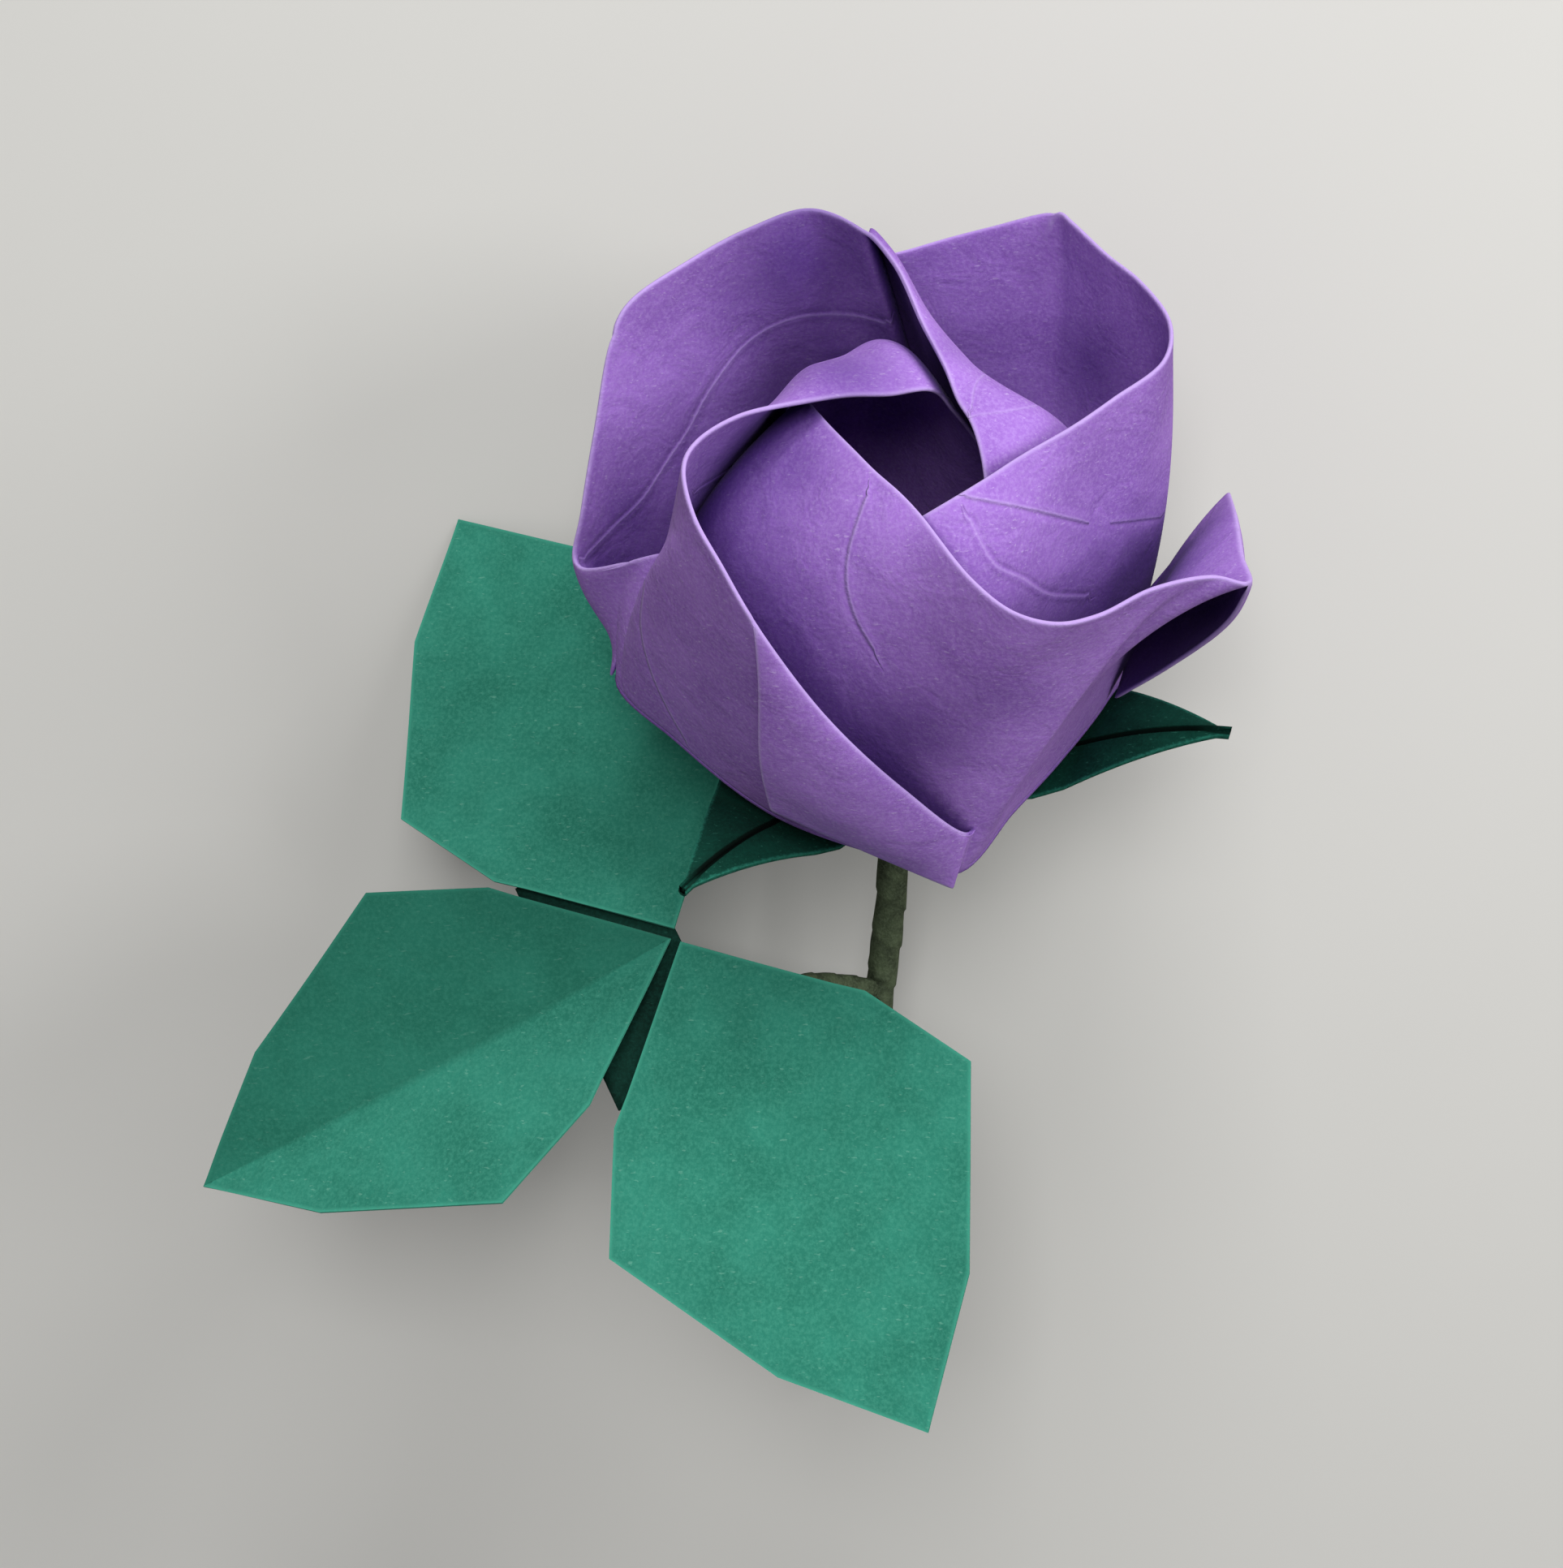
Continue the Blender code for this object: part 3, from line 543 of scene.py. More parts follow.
def petalSheet(key, petal):
    # A petal's wall and flap as one sheet, folded over the ridge that they share.
    through = petal["rim"] + petal["ridge"] + petal["tuck"]
    line, shares, marks = smoothCurve([petalPoint(petal, p) for p in through])
    cornerAt, ridgeEnds = marks[len(petal["rim"])], marks[len(petal["rim"] + petal["ridge"]) - 1]
    columns = [cornerAt * i / bloom["rimColumns"] for i in range(bloom["rimColumns"])]
    columns += [cornerAt + (ridgeEnds - cornerAt) * i / (bloom["ridgeColumns"] - 1)
                for i in range(bloom["ridgeColumns"])]
    if petal["tuck"]:
        columns += [ridgeEnds + (1 - ridgeEnds) * (i + 1) / bloom["tuckColumns"]
                    for i in range(bloom["tuckColumns"])]
    rows = bloom["wallRows"]
    down = [(r / (rows - 1)) ** bloom["rowsCrowd"] for r in range(rows)]
    points, faces = [], []
    for share in columns:
        points += wallLine(petal, pointAt(line, shares, share), share, down)
    faces += gridFaces(len(columns), rows)
    first = bloom["rimColumns"]
    ridge = [points[(first + i) * rows] for i in range(bloom["ridgeColumns"])]
    across = bloom["flapRows"]
    lines = flapLines(petal, ridge, across)
    start = len(points)
    for made in lines:
        points += made[1:]

    def flapIndex(c, r):
        return (first + c) * rows if r == 0 else start + c * (across - 1) + r - 1

    for c in range(bloom["ridgeColumns"] - 1):
        for r in range(across - 1):
            faces.append((flapIndex(c + 1, r), flapIndex(c, r), flapIndex(c, r + 1),
                          flapIndex(c + 1, r + 1)))
    cut = evenly(line, shares, bloom["cutSamples"])[:int(bloom["cutSamples"] * cornerAt)]
    lower = lines[0] + [made[-1] for made in lines]
    fold = [p for i in range(len(ridge) - 1) for p in (ridge[i], ridge[i].lerp(ridge[i + 1], 0.5))]
    densely = [a.lerp(b, s / 4) for a, b in zip(lower, lower[1:]) for s in range(4)]
    attributes = {"edge": distancesTo(points, cut + densely + fold)}
    sheet = BVHTree.FromPolygons([tuple(p) for p in points], faces)
    attributes["shade"] = [0.0] * len(points)
    for name, pixels in zip(violetLook["creases"], petalCreases[key]):
        attributes[name] = creaseDistances(points, sheet, pixels)
        attributes[name + "Close"] = [smoothStep(bloom["creaseReach"] - abs(off))
                                      for off in attributes[name]]
    return newObject("petal" + key[0].upper() + key[1:], points, faces, attributes)


def makeBloom(paper, rimPaper):
    made = []
    for key, petal in petals.items():
        thing = petalSheet(key, petal)
        thicken(thing, bloom["paper"] * mm)
        soften(thing)
        made.append(finishPiece(thing, [paper, rimPaper], ["rose_bloom"] if not made else []))
    print("petals folded")
    return made


# Painted shade where the folds close in: the petals' colour is darkened by how closed in each
# point lies. reach is how far they count, in mm, and directions how many are felt from a point;
# clear and full are the closed-in shares from which and at which it shows. Each place adds a
# spot of painted shade: a pixel, its reach in mm, its strength.
paintedFoldShade = dict(reach=26, directions=18, start=0.25, clear=0.12, full=0.75, shows=0.85,
                 places=[((985, 318), 15, 0.72), ((768, 640), 8, 0.45), ((1345, 455), 10, 0.6),
                         ((1130, 905), 10, 0.5), ((1045, 458), 9, 0.55), ((1165, 425), 5, 0.2),
                         ((985, 570), 8, 0.4), ((1220, 860), 7, 0.25)])


def shadeFolds(pieces):
    # Works out how closed in each point of the petals lies, and stores it, with the painted spots,
    # as its painted shade.
    points, faces = [], []
    for thing in pieces:
        first = len(points)
        points += [vertex.co.copy() for vertex in thing.data.vertices]
        faces += [tuple(first + index for index in face.vertices) for face in thing.data.polygons]
    whole = BVHTree.FromPolygons(points, faces)
    total, reach = paintedFoldShade["directions"], paintedFoldShade["reach"] * mm
    fan = []
    for index in range(total):
        rise = math.sqrt((index + 0.5) / total)
        turn = index * math.pi * (3 - math.sqrt(5))
        fan.append(Vector((math.cos(turn) * math.sqrt(1 - rise * rise),
                           math.sin(turn) * math.sqrt(1 - rise * rise), rise)))
    marks = []
    for pixel, wide, strength in paintedFoldShade["places"]:
        ray = (viewNow.to_3x3() @ pixelRay(*pixel)).normalized()
        mark = whole.ray_cast(viewNow.translation, ray)[0]
        marks.append((mark, ray, wide * mm, strength))
    for thing in pieces:
        shades = []
        for vertex in thing.data.vertices:
            turn = Vector((0, 0, 1)).rotation_difference(vertex.normal).to_matrix()
            start = vertex.co + vertex.normal * paintedFoldShade["start"] * mm
            closed = 0.0
            for direction in fan:
                far = whole.ray_cast(start, turn @ direction, reach)[3]
                closed += 0 if far is None else 1 - far / reach
            share = ((closed / total - paintedFoldShade["clear"])
                     / (paintedFoldShade["full"] - paintedFoldShade["clear"]))
            shade = paintedFoldShade["shows"] * smoothStep(share)
            for mark, ray, wide, strength in marks:
                if (vertex.co - mark).length < wide and vertex.normal.dot(ray) < -0.1:
                    near = smoothStep(1 - (vertex.co - mark).length / wide)
                    shade = max(shade, 1 - (1 - shade) * (1 - near * strength))
            shades.append(shade)
        thing.data.attributes["shade"].data.foreach_set("value", shades)
    print("deep folds shaded")


def bottomHeight(rim, share):
    return rim.z * share - bloom["bottomSag"] * mm * (1 - share * share)


# The twisted underside: pleats that wind out from the wire to the petals' feet. twist is in
# degrees, depth and thick in mm, lapFrom is where in a pleat its lap begins, and shade is
# the painted shade laid evenly over the whole underside.
underside = dict(columns=180, rows=26, pleats=4, twist=130, depth=0.7, lapFrom=0.92, thick=0.5,
                 shade=0.35)


def makeBottom(paper, rimPaper):
    columns, rows = underside["columns"], underside["rows"]
    hole = bloom["holeRadius"] * mm
    points = []
    for column in range(columns):
        angle = 360 * column / columns - 180
        rim = edgePoint(angle)
        out = Vector((rim.x, rim.y, 0)).normalized()
        for row in range(rows):
            share = row / (rows - 1)
            reach = hole + (rim.xy.length + bloom["bottomLip"] * mm * 0.4 - hole) * share
            phase = underside["pleats"] * (angle + underside["twist"] * share) / 360 % 1
            lap = sawTooth(phase, underside["lapFrom"]) - 0.5
            deep = smoothStep(share * 3) * (1 - smoothStep((share - 0.8) / 0.2))
            height = bottomHeight(rim, share) + lap * underside["depth"] * mm * deep
            points.append(out * reach + Vector((0, 0, height)))
    faces = gridFaces(columns, rows, closed=True)
    attributes = {"edge": [farAway] * len(points), "shade": [underside["shade"]] * len(points)}
    thing = newObject("bloomBottom", points, faces, attributes)
    thicken(thing, underside["thick"] * mm)
    finishPiece(thing, [paper, rimPaper], [])
    print("underside twisted")


# Each sepal: its direction in degrees, its tip's reach and height, and the width of its
# clockwise and its other half, in mm. slitHalf is half the slit's width, inside and outside.
calyx = dict(thick=1.4, slit=1.0, slitHalf=(0.2, 0.44), arch=1.2, glueAndGaps=1.4,
             narrowest=0.5, taperFrom=0.85, steps=60, sharp=30,
             sepals=[(-126.5, 38.6, 5.0, 9.4, 7.0), (-18.0, 37.6, 10.0, 7.4, 12.0),
                     (60, 38.0, 7.0, 9.0, 9.0), (150, 38.0, 7.0, 9.0, 9.0)])

darkGreenLook = dict(base="#0b392e", dark="#072c23", pale="#154f40", fleck="#458c77",
                     edge="#2c7c68", shaded="#03100c", cloud=6.0, crumple=4.0, grain=0.4,
                     fibre=0.8, grainShows=0.3, fibreShows=0.2, grainHeight=0.05,
                     fibreHeight=0.02, crumpleHeight=0.3, edgeWide=0.45, edgeShows=0.6,
                     roughness=0.92, gloss=0.06, sheen=0.01, creases={})


def sepalShape(name, sepal):
    # A sepal: two folded halves that meet in a slit, over a plain back.
    angle, reach, tipHeight, clockwise, other = sepal
    turn = math.radians(angle)
    out = Vector((math.cos(turn), math.sin(turn), 0))
    side = Vector((-out.y, out.x, 0))
    rim = edgePoint(angle)
    under = (bloom["bottomThick"] / 2 + calyx["glueAndGaps"] + calyx["thick"] / 2) * mm
    inner = rim.xy.length
    steps = calyx["steps"]
    slitFrom, slitTo = calyx["slitHalf"]
    points, edges, shades = [], [], []
    for step in range(steps + 1):
        along = reach * mm * step / steps
        if along < inner:
            height = bottomHeight(rim, along / inner) - under
        else:
            past = (along - inner) / (reach * mm - inner)
            height = ((rim.z - under) * (1 - past) + tipHeight * mm * past
                      + calyx["arch"] * mm * 4 * past * (1 - past))
        narrow = min(1.0, (reach * mm - along) / (reach * mm - inner * calyx["taperFrom"]))
        near, far = (max(width * mm * narrow, calyx["narrowest"] * mm)
                     for width in (clockwise, other))
        gap = (slitFrom + (slitTo - slitFrom) * smoothStep(step / steps * 1.6)) * mm
        top, low = calyx["thick"] / 2 * mm, -calyx["thick"] / 2 * mm
        deep = top - calyx["slit"] * mm
        ring = [(-near, low * 0.55), (-near, top * 0.15), (-near * 0.5, top * 0.7), (-gap, top),
                (-gap * 0.9, top - 0.2 * mm), (-gap * 0.7, deep), (gap * 0.7, deep),
                (gap * 0.9, top - 0.2 * mm), (gap, top), (far * 0.5, top * 0.7),
                (far, top * 0.15), (far, low * 0.55), (far * 0.5, low), (-near * 0.5, low)]
        centre = out * along + Vector((0, 0, height))
        edges += [centre + side * far, centre - side * near]
        # Painted shade inside the slit, which fades out near the tip.
        dim = 1 - smoothStep((step / steps - 0.9) / 0.08)
        shades += [0, 0, 0, 0.2 * dim, 0.9 * dim, dim, dim, 0.9 * dim, 0.2 * dim, 0, 0, 0, 0, 0]
        points += [centre + side * a + Vector((0, 0, b)) for a, b in ring]
    wide = len(ring)
    faces = ringFaces(steps + 1, wide)
    faces.append(tuple(reversed(range(wide))))
    faces.append(tuple(range(steps * wide, (steps + 1) * wide)))
    attributes = {"edge": distancesTo(points, edges), "shade": shades}
    return newObject(name, points, faces, attributes)


def makeCalyx(paper):
    # The sepals, joined into one piece.
    sepals = [sepalShape("foldedCalyx", calyx["sepals"][0])]
    sepals += [sepalShape(f"sepal{i}", s) for i, s in enumerate(calyx["sepals"][1:])]
    whole = bmesh.new()
    for sepal in sepals:
        whole.from_mesh(sepal.data)
    whole.to_mesh(sepals[0].data)
    whole.free()
    for sepal in sepals[1:]:
        bpy.data.objects.remove(sepal)
    finishPiece(sepals[0], [paper], ["calyx"], calyx["sharp"])
    print("calyx folded")


# The leaf lies on a plane through middle, with its normal and the way that is up on it. The
# outline is a leaflet's: shares of its length, and half widths as shares of it too. Each
# leaflet has its direction, fold and lift in degrees, its share of the full width, and the
# painted shade on its clockwise half, for the side of its fold that faces away from the light.
# Each layer has its drop, and how far in its cut edge lies.
leaf = dict(length=63.0, paper=0.7, middle=(-23.4, -17.6, -23.0), normal=(-0.238, -0.334, 0.912),
            up=(-0.445, 0.872, 0.203),
            outline=[(0.014, 0.0), (0.225, 0.212), (0.27, 0.26), (0.478, 0.367), (0.80, 0.189),
                     (1.0, 0.0)],
            leaflets={"upper": (91.5, 3, 0, 1.0, 0.0), "left": (180, 18, 1, 0.93, 0.45),
                      "lower": (-89.5, 3, 0, 1.0, 0.0)},
            layers={"Top": (-0.17, 0.0), "Under": (0.2, 0.35)}, layerThick=0.3, start=0.9,
            wave=0.5, waveStep=(0.05, 1.2, 3.7), underfold=0.34, stops=60, across=25, sharp=24)

greenLook = dict(base="#2b7a67", dark="#236c5a", pale="#45927d", fleck="#84bba8", edge="#46a088",
                 shaded="#0f4537", cloud=8.0, crumple=6.0, grain=0.45, fibre=1.0, grainShows=0.45,
                 fibreShows=0.22, grainHeight=0.05, fibreHeight=0.02, crumpleHeight=0.3,
                 edgeWide=0.45, edgeShows=0.45, roughness=0.92, gloss=0.1, sheen=0.02, creases={})
greenEdge = dict(greenLook, base="#4aa08a", dark="#3a8f79")
# A darker copy of the green paper: painted shade for the corner folded under the leaf, which shows
# in the slots.
greenPaintedShade = dict(greenLook, base="#0c2f26", dark="#08241d", pale="#15443a", fleck="#2a6152")


def leafMatrix():
    up = Vector(leaf["up"]).normalized()
    normal = Vector(leaf["normal"])
    normal = (normal - up * normal.dot(up)).normalized()
    place = Matrix((up.cross(normal), up, normal)).transposed().to_4x4()
    place.translation = inMillimetres(leaf["middle"])
    return place


leafPlace = leafMatrix()


def leafletHalfWidth(along):
    for (a0, w0), (a1, w1) in zip(leaf["outline"], leaf["outline"][1:]):
        if a0 <= along <= a1:
            return w0 + (w1 - w0) * (along - a0) / (a1 - a0)
    return 0.0


def leafletSheet(name, leaflet, drop, inset):
    # One layer of a leaflet, its two halves meeting in the midrib's fold.
    direction, fold, lift = (math.radians(value) for value in leaflet[:3])
    wideShare, dark = leaflet[3:]
    stops = [leaf["outline"][0][0]]
    for (a0, _), (a1, _) in zip(leaf["outline"], leaf["outline"][1:]):
        pieces = max(int((a1 - a0) * leaf["stops"]), 3)
        stops += [a0 + (a1 - a0) * (i + 1) / pieces for i in range(pieces)]
    across = leaf["across"]
    waveAlong, waveAcross, waveSeed = leaf["waveStep"]
    place = leafPlace @ Matrix.Rotation(direction, 4, "Z") @ Matrix.Rotation(-lift, 4, "Y")
    points, edges, shades = [], [], []
    for along in stops:
        half = max(leafletHalfWidth(along) * leaf["length"] * wideShare - inset, 0.02)
        for i in range(across):
            v = i / (across - 1) * 2 - 1
            spread = abs(v) * half
            x = min(max(along * leaf["length"], leaf["start"] + inset), leaf["length"] - inset)
            ripple = Vector((x * waveAlong, v * waveAcross, waveSeed * direction))
            wave = noise.noise(ripple) * leaf["wave"]
            point = Vector((x, math.copysign(spread * math.cos(fold), v),
                            spread * math.sin(fold) + wave * smoothStep(spread / 4) - drop)) * mm
            points.append(place @ point)
            # Painted shade on one half of the leaflet, deeper towards its edge.
            shades.append(dark * (v < 0.02) * (1 + 0.3 * spread / half))
        edges += [points[-1], points[-across]]
    faces = gridFaces(len(stops), across)
    dense = [a.lerp(b, s / 6) for i in (0, 1)
             for a, b in zip(edges[i::2], edges[i + 2::2]) for s in range(6)]
    return newObject(name, points, faces, {"edge": distancesTo(points, dense), "shade": shades})


def makeLeaf(paper, rimPaper, shadedGreen):
    nodes = ["leaf"]
    for key, leaflet in leaf["leaflets"].items():
        for layer, (drop, inset) in leaf["layers"].items():
            thing = leafletSheet("leaf" + key.capitalize() + layer, leaflet, drop, inset)
            thicken(thing, leaf["layerThick"] * mm)
            finishPiece(thing, [paper, rimPaper], nodes, leaf["sharp"])
            nodes = []
    foldedUnder(paper, shadedGreen)
    print("leaf folded")


def foldedUnder(paper, shadedGreen):
    # The sheet's fourth corner, folded flat under the leaf, with painted shade on the side in the
    # fold.
    half = leaf["length"] * leaf["underfold"] / math.sqrt(2)
    columns, rows = 16, 30
    points = []
    for c in range(columns):
        x = -half * c / (columns - 1)
        for r in range(rows):
            y = half * (2 * r / (rows - 1) - 1)
            points.append(leafPlace @ (Vector((x, y, -leaf["paper"] * 0.9)) * mm))
    thing = newObject("leafUnderfold", points, gridFaces(columns, rows),
                      {"edge": [farAway] * len(points), "shade": [0.0] * len(points)})
    thicken(thing, leaf["layerThick"] * mm, rimSlot=0, backSlot=1)
    finishPiece(thing, [shadedGreen, paper], [])


# The taped stem and the leaf's thinner stalk, in mm: tape and wire are radii, joint is the
# height at which the stalk leaves the stem, and lumpLength is from one lump to the next.
stem = dict(route=[(0, 0, -8), (1.0, -0.6, -14), (2.4, -4.6, -24), (2.2, -10, -34),
                   (1.0, -22, -60), (0, -36.5, -94)],
            tape=1.9, wire=0.7, lapPitch=5.5, lapHeight=0.22, lump=0.16, lumpLength=3.2)
stalk = dict(joint=-40, tape=1.2, wire=0.45, gap=0.3, underLeaf=8.0, dip=1.2,
             bend=(5.6, -9.5), lift=(0, 1.5, -1.0), lapPitch=4.0,
             lapHeight=0.13, lump=0.1, lumpLength=2.4)
tapeWinding = dict(ringEvery=0.22, around=40, lapFrom=0.93, wander=0.12)
# lap is the colour of the painted shade at the foot of each lap's step.
tapeLook = dict(base="#4f5c42", dark="#2f3926", pale="#6e7c62", lap="#1c241a", wrinkle=0.35,
                cloud=2.2, bump=0.2, roughness=0.8, gloss=0.3)


def tapeMaterial():
    # Crepe paper tape, stretched and wound by hand: dull olive and finely wrinkled, with painted
    # shade at the foot of each lap's step. Its real wrinkles are near 0.1 mm apart, and are drawn
    # coarser to show.
    paint, tree, shader = newMaterial("crepe_floral_tape")
    place = addNode(tree, "TexCoord", out="Object")
    wrinkle = addNode(tree, "TexNoise", {"Vector": place, "Roughness": 0.7, "Detail": 4,
                                         "Scale": 1 / (tapeLook["wrinkle"] * mm)})
    cloud = addNode(tree, "TexNoise", {"Vector": place, "Scale": 1 / (tapeLook["cloud"] * mm),
                                       "Detail": 3})
    lap = addNode(tree, "Attribute", out="Fac", attribute_name="lap")
    tone = addNode(tree, "MapRange", {"Value": cloud, "From Min": 0.35, "From Max": 0.68})
    colour = addNode(tree, "Mix", {0: tone, 6: hexColour(tapeLook["dark"]),
                                   7: hexColour(tapeLook["base"])}, out=2, data_type="RGBA")
    fine = addNode(tree, "MapRange", {"Value": wrinkle, "From Min": 0.45, "From Max": 0.7,
                                      "To Max": 0.45})
    # Painted shade: the tape is darkened just past each lap's step.
    shade = addNode(tree, "MapRange", {"Value": lap, "From Max": 0.2, "To Min": 0.35,
                                       "To Max": 0.0})
    for share, tint in ((fine, "pale"), (shade, "lap")):
        colour = addNode(tree, "Mix", {0: share, 6: colour, 7: hexColour(tapeLook[tint])}, out=2,
                         data_type="RGBA")
    bump = addNode(tree, "Bump", {"Height": wrinkle, "Distance": tapeLook["bump"] * mm,
                                  "Strength": 1.0})
    fillInputs(tree, shader, {"Base Color": colour, "Normal": bump,
                              "Roughness": tapeLook["roughness"],
                              "Specular IOR Level": tapeLook["gloss"]})
    return paint


def tapedRod(name, line, shares, look, paint, nodes):
    # Tape wound round a wire: a lumpy tube with the step of each lap on it.
    length = sum((b - a).length for a, b in zip(line, line[1:]))
    rings = int(length / (tapeWinding["ringEvery"] * mm))
    around = tapeWinding["around"]
    points, laps = [], []
    side = None
    for ring in range(rings + 1):
        share = ring / rings
        centre = pointAt(line, shares, share)
        ahead = (pointAt(line, shares, min(share + 0.01, 1))
                 - pointAt(line, shares, max(share - 0.01, 0))).normalized()
        side = side or ahead.orthogonal()
        side = (side - ahead * side.dot(ahead)).normalized()
        other = ahead.cross(side)
        travel = share * length / mm
        for step in range(around):
            turn = 2 * math.pi * step / around
            wander = noise.noise(Vector((travel * 0.3, math.cos(turn), 5)))
            phase = (travel / look["lapPitch"] + step / around
                     + tapeWinding["wander"] * wander) % 1
            lap = sawTooth(phase, tapeWinding["lapFrom"])
            outward = side * math.cos(turn) + other * math.sin(turn)
            lumps = noise.noise(Vector((travel / look["lumpLength"], math.cos(turn) * 0.8,
                                        math.sin(turn) * 0.8)))
            radius = look["tape"] + look["lapHeight"] * (lap - 0.6) + look["lump"] * lumps
            points.append(centre + outward * radius * mm)
            laps.append(phase)
    faces = ringFaces(rings + 1, around)
    for end, tip, flip in ((0, line[0], True), (rings, line[-1], False)):
        hole = [len(points) + c for c in range(around)]
        for c in range(around):
            outer = points[end * around + c]
            points.append(tip + (outer - tip).normalized() * (look["wire"] + 0.1) * mm)
            laps.append(0.5)
        for c in range(around):
            n = (c + 1) % around
            ring = (end * around + c, hole[c], hole[n], end * around + n)
            faces.append(ring if flip else tuple(reversed(ring)))
    thing = newObject(name, points, faces, {"lap": laps})
    finishPiece(thing, [paint], nodes)


def makeStems(paint):
    line, shares = smoothCurve([inMillimetres(p) for p in stem["route"]])[:2]
    tapedRod("stemTape", line, shares, stem, paint, ["stem_tape"])
    joint = min(line, key=lambda p: abs(p.z - stalk["joint"] * mm))
    under = leaf["paper"] * 1.2 + stalk["gap"] + stalk["tape"]  # clear of the folded corner
    start = leafPlace @ (Vector((-stalk["underLeaf"], 0, -under)) * mm)
    middle = leafPlace @ (Vector((*stalk["bend"], -under - stalk["dip"])) * mm)
    toward = (middle - joint).normalized()
    end = joint + toward * stem["tape"] * 0.7 * mm  # its tape runs under the stem's
    route = [start, middle, middle.lerp(end, 0.5) + inMillimetres(stalk["lift"]), end]
    line, shares = smoothCurve(route)[:2]
    tapedRod("stalkTape", line, shares, stalk, paint, ["stalk_tape"])
    print("stem and stalk wound")


wireLook = dict(base="#b4b4b2", streak=0.4)
glueLook = dict(base="#cfcdc8", pale="#eeece6", cloud=1.2, roughness=0.3)


def wireMaterial():
    # Steel wire, drawn bright through a die: shiny, with faint streaks. Tape hides most of it.
    paint, tree, shader = newMaterial("drawn_steel_wire")
    place = addNode(tree, "TexCoord", out="Object")
    streak = addNode(tree, "TexNoise", {"Vector": place, "Scale": 1 / (wireLook["streak"] * mm),
                                        "Detail": 3})
    rough = addNode(tree, "MapRange", {"Value": streak, "To Min": 0.25, "To Max": 0.5})
    fillInputs(tree, shader, {"Base Color": hexColour(wireLook["base"]), "Metallic": 1.0,
                              "Roughness": rough})
    return paint


def glueMaterial():
    # Craft glue that has set cloudy: glossy, milky, uneven.
    paint, tree, shader = newMaterial("dried_craft_glue")
    place = addNode(tree, "TexCoord", out="Object")
    cloud = addNode(tree, "TexNoise", {"Vector": place, "Scale": 1 / (glueLook["cloud"] * mm),
                                       "Detail": 3})
    colour = addNode(tree, "Mix", {0: cloud, 6: hexColour(glueLook["base"]),
                                   7: hexColour(glueLook["pale"])}, out=2, data_type="RGBA")
    fillInputs(tree, shader, {"Base Color": colour, "Roughness": glueLook["roughness"]})
    return paint


# The floor, lamps and view. The camera sees the floor and backdrop paler than the light
# that they give back. The lamps stand in the camera's frame, in metres to its right, above
# it and behind it, and aim at target; floorReach is in metres too, floorCloud in mm.
studio = dict(floor="#c8c7c3", floorPale="#cbcac6", floorBounce="#7c7468", floorCloud=50.0,
              floorReach=3.0, backdrop="#cfcecb", target=(0.0, 0.0, -0.225), world=0.28,
              worldColour="#f1f1f1", sensor=36,
              lamps={"topLamp": dict(at=(0.02, 0.68, 0.30), size=0.3, power=3.5),
                     "topRightLamp": dict(at=(0.46, 0.50, 0.30), size=0.3, power=2.7),
                     "rightLamp": dict(at=(0.60, 0.04, 0.34), size=0.3, power=2.5),
                     "frontLamp": dict(at=(-0.04, 0.16, 0.50), size=0.3, power=2.6)})


def makeFloor():
    paint, tree, shader = newMaterial("pale_floor")
    place = addNode(tree, "TexCoord", out="Object")
    cloud = addNode(tree, "TexNoise", {"Vector": place, "Detail": 3,
                                       "Scale": 1 / (studio["floorCloud"] * mm)})
    colour = addNode(tree, "Mix", {0: cloud, 6: hexColour(studio["floor"]),
                                   7: hexColour(studio["floorPale"])}, out=2, data_type="RGBA")
    seen = addNode(tree, "LightPath", out="Is Camera Ray")
    colour = addNode(tree, "Mix", {0: seen, 6: hexColour(studio["floorBounce"]), 7: colour},
                     out=2, data_type="RGBA")
    fillInputs(tree, shader, {"Base Color": colour, "Roughness": 0.9})
    size = studio["floorReach"]
    floor = newObject("floor", [(-size, -size, 0), (size, -size, 0), (size, size, 0),
                                (-size, size, 0)], [(0, 1, 2, 3)])
    floor.data.materials.append(paint)


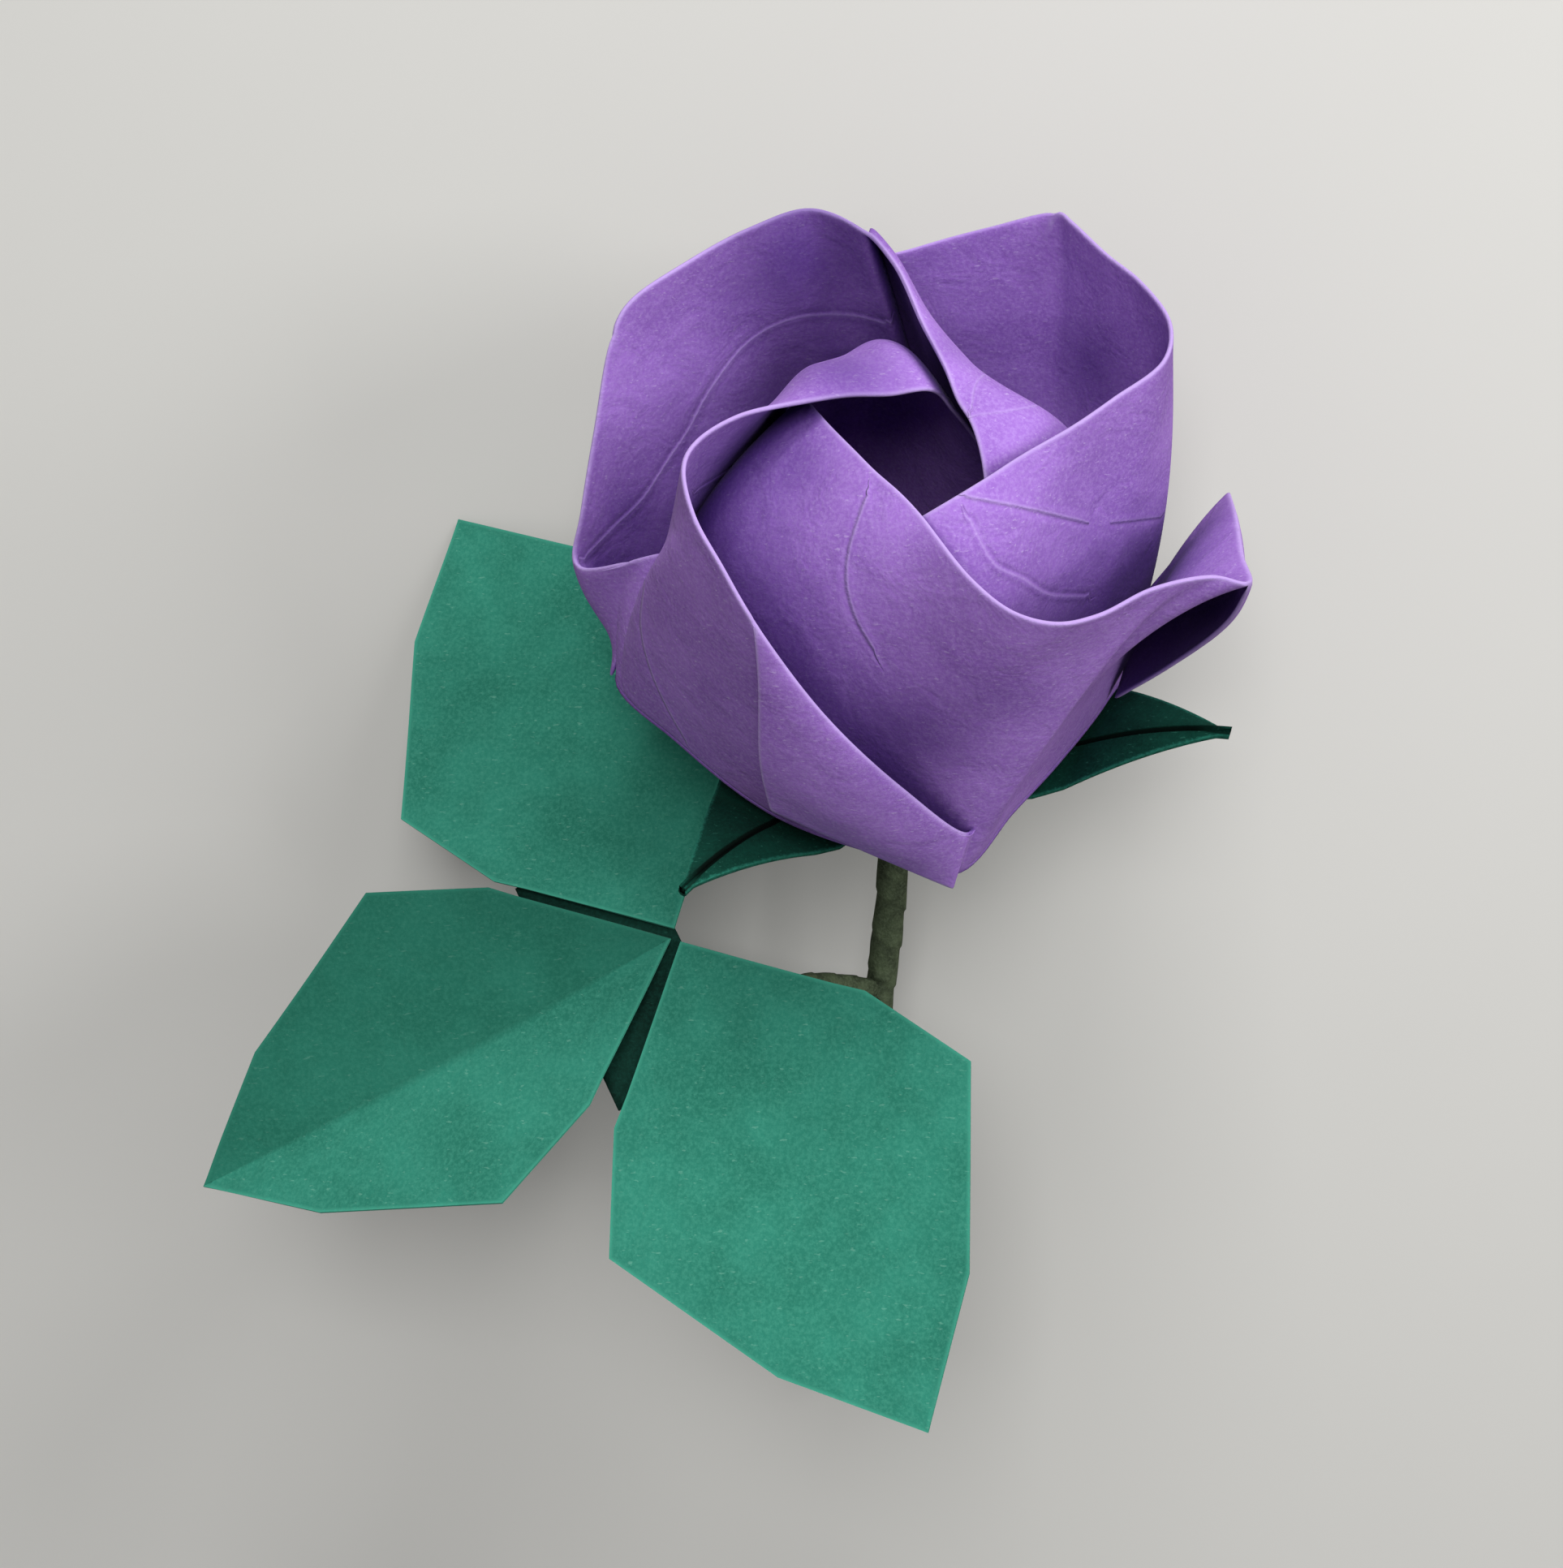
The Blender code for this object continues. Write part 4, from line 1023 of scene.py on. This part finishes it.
def softLamp(name, lamp):
    light = bpy.data.lights.new(name, "AREA")
    light.energy = lamp["power"]
    light.size = lamp["size"]
    stand = bpy.data.objects.new(name, light)
    stand.location = viewNow @ Vector(lamp["at"])
    aim = viewNow @ Vector(studio["target"]) - stand.location
    stand.rotation_euler = aim.to_track_quat("-Z", "Y").to_euler()
    bpy.context.scene.collection.objects.link(stand)


def lightAndView():
    makeFloor()
    for name, lamp in studio["lamps"].items():
        softLamp(name, lamp)
    world = bpy.data.worlds.new("studio")
    bpy.context.scene.world = world
    world.use_nodes = True
    tree = world.node_tree
    seen = addNode(tree, "LightPath", out="Is Camera Ray")
    colour = addNode(tree, "Mix", {0: seen, 6: hexColour(studio["worldColour"]),
                                   7: hexColour(studio["backdrop"])}, out=2, data_type="RGBA")
    strength = addNode(tree, "MapRange", {"Value": seen, "To Min": studio["world"]})
    fillInputs(tree, tree.nodes["Background"], {"Color": colour, "Strength": strength})
    lens = bpy.data.cameras.new("view")
    lens.sensor_fit = "HORIZONTAL"
    lens.sensor_width = studio["sensor"]
    lens.lens = viewPoint["focalPixels"] / viewPoint["imageSize"][0] * lens.sensor_width
    lens.clip_start = 0.01
    camera = bpy.data.objects.new("view", lens)
    camera.matrix_world = viewNow
    bpy.context.scene.collection.objects.link(camera)
    bpy.context.scene.camera = camera
    bpy.context.scene.view_settings.view_transform = "Standard"
    print("floor, lamps and camera set")


violetPaper = paperMaterial("dyed_craft_paper_violet", violetLook)
violetCut = paperMaterial("cut_edge_of_violet_paper", violetEdge)
greenPaper = paperMaterial("dyed_craft_paper_green", greenLook)
greenCut = paperMaterial("cut_edge_of_green_paper", greenEdge)
shadedGreenPaper = paperMaterial("green_paper_painted_shade", greenPaintedShade)
darkGreenPaper = paperMaterial("dyed_craft_paper_dark_green", darkGreenLook)
petalPieces = makeBloom(violetPaper, violetCut)
shadeFolds(petalPieces)
makeBottom(violetPaper, violetCut)
makeCalyx(darkGreenPaper)
makeLeaf(greenPaper, greenCut, shadedGreenPaper)
makeStems(tapeMaterial())
drawnWire = wireMaterial()
for node, paint in (("stem_wire", drawnWire), ("stalk_wire", drawnWire), ("glue", glueMaterial())):
    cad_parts[node].data.materials.clear()
    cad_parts[node].data.materials.append(paint)
print("wires and glue finished")
lightAndView()
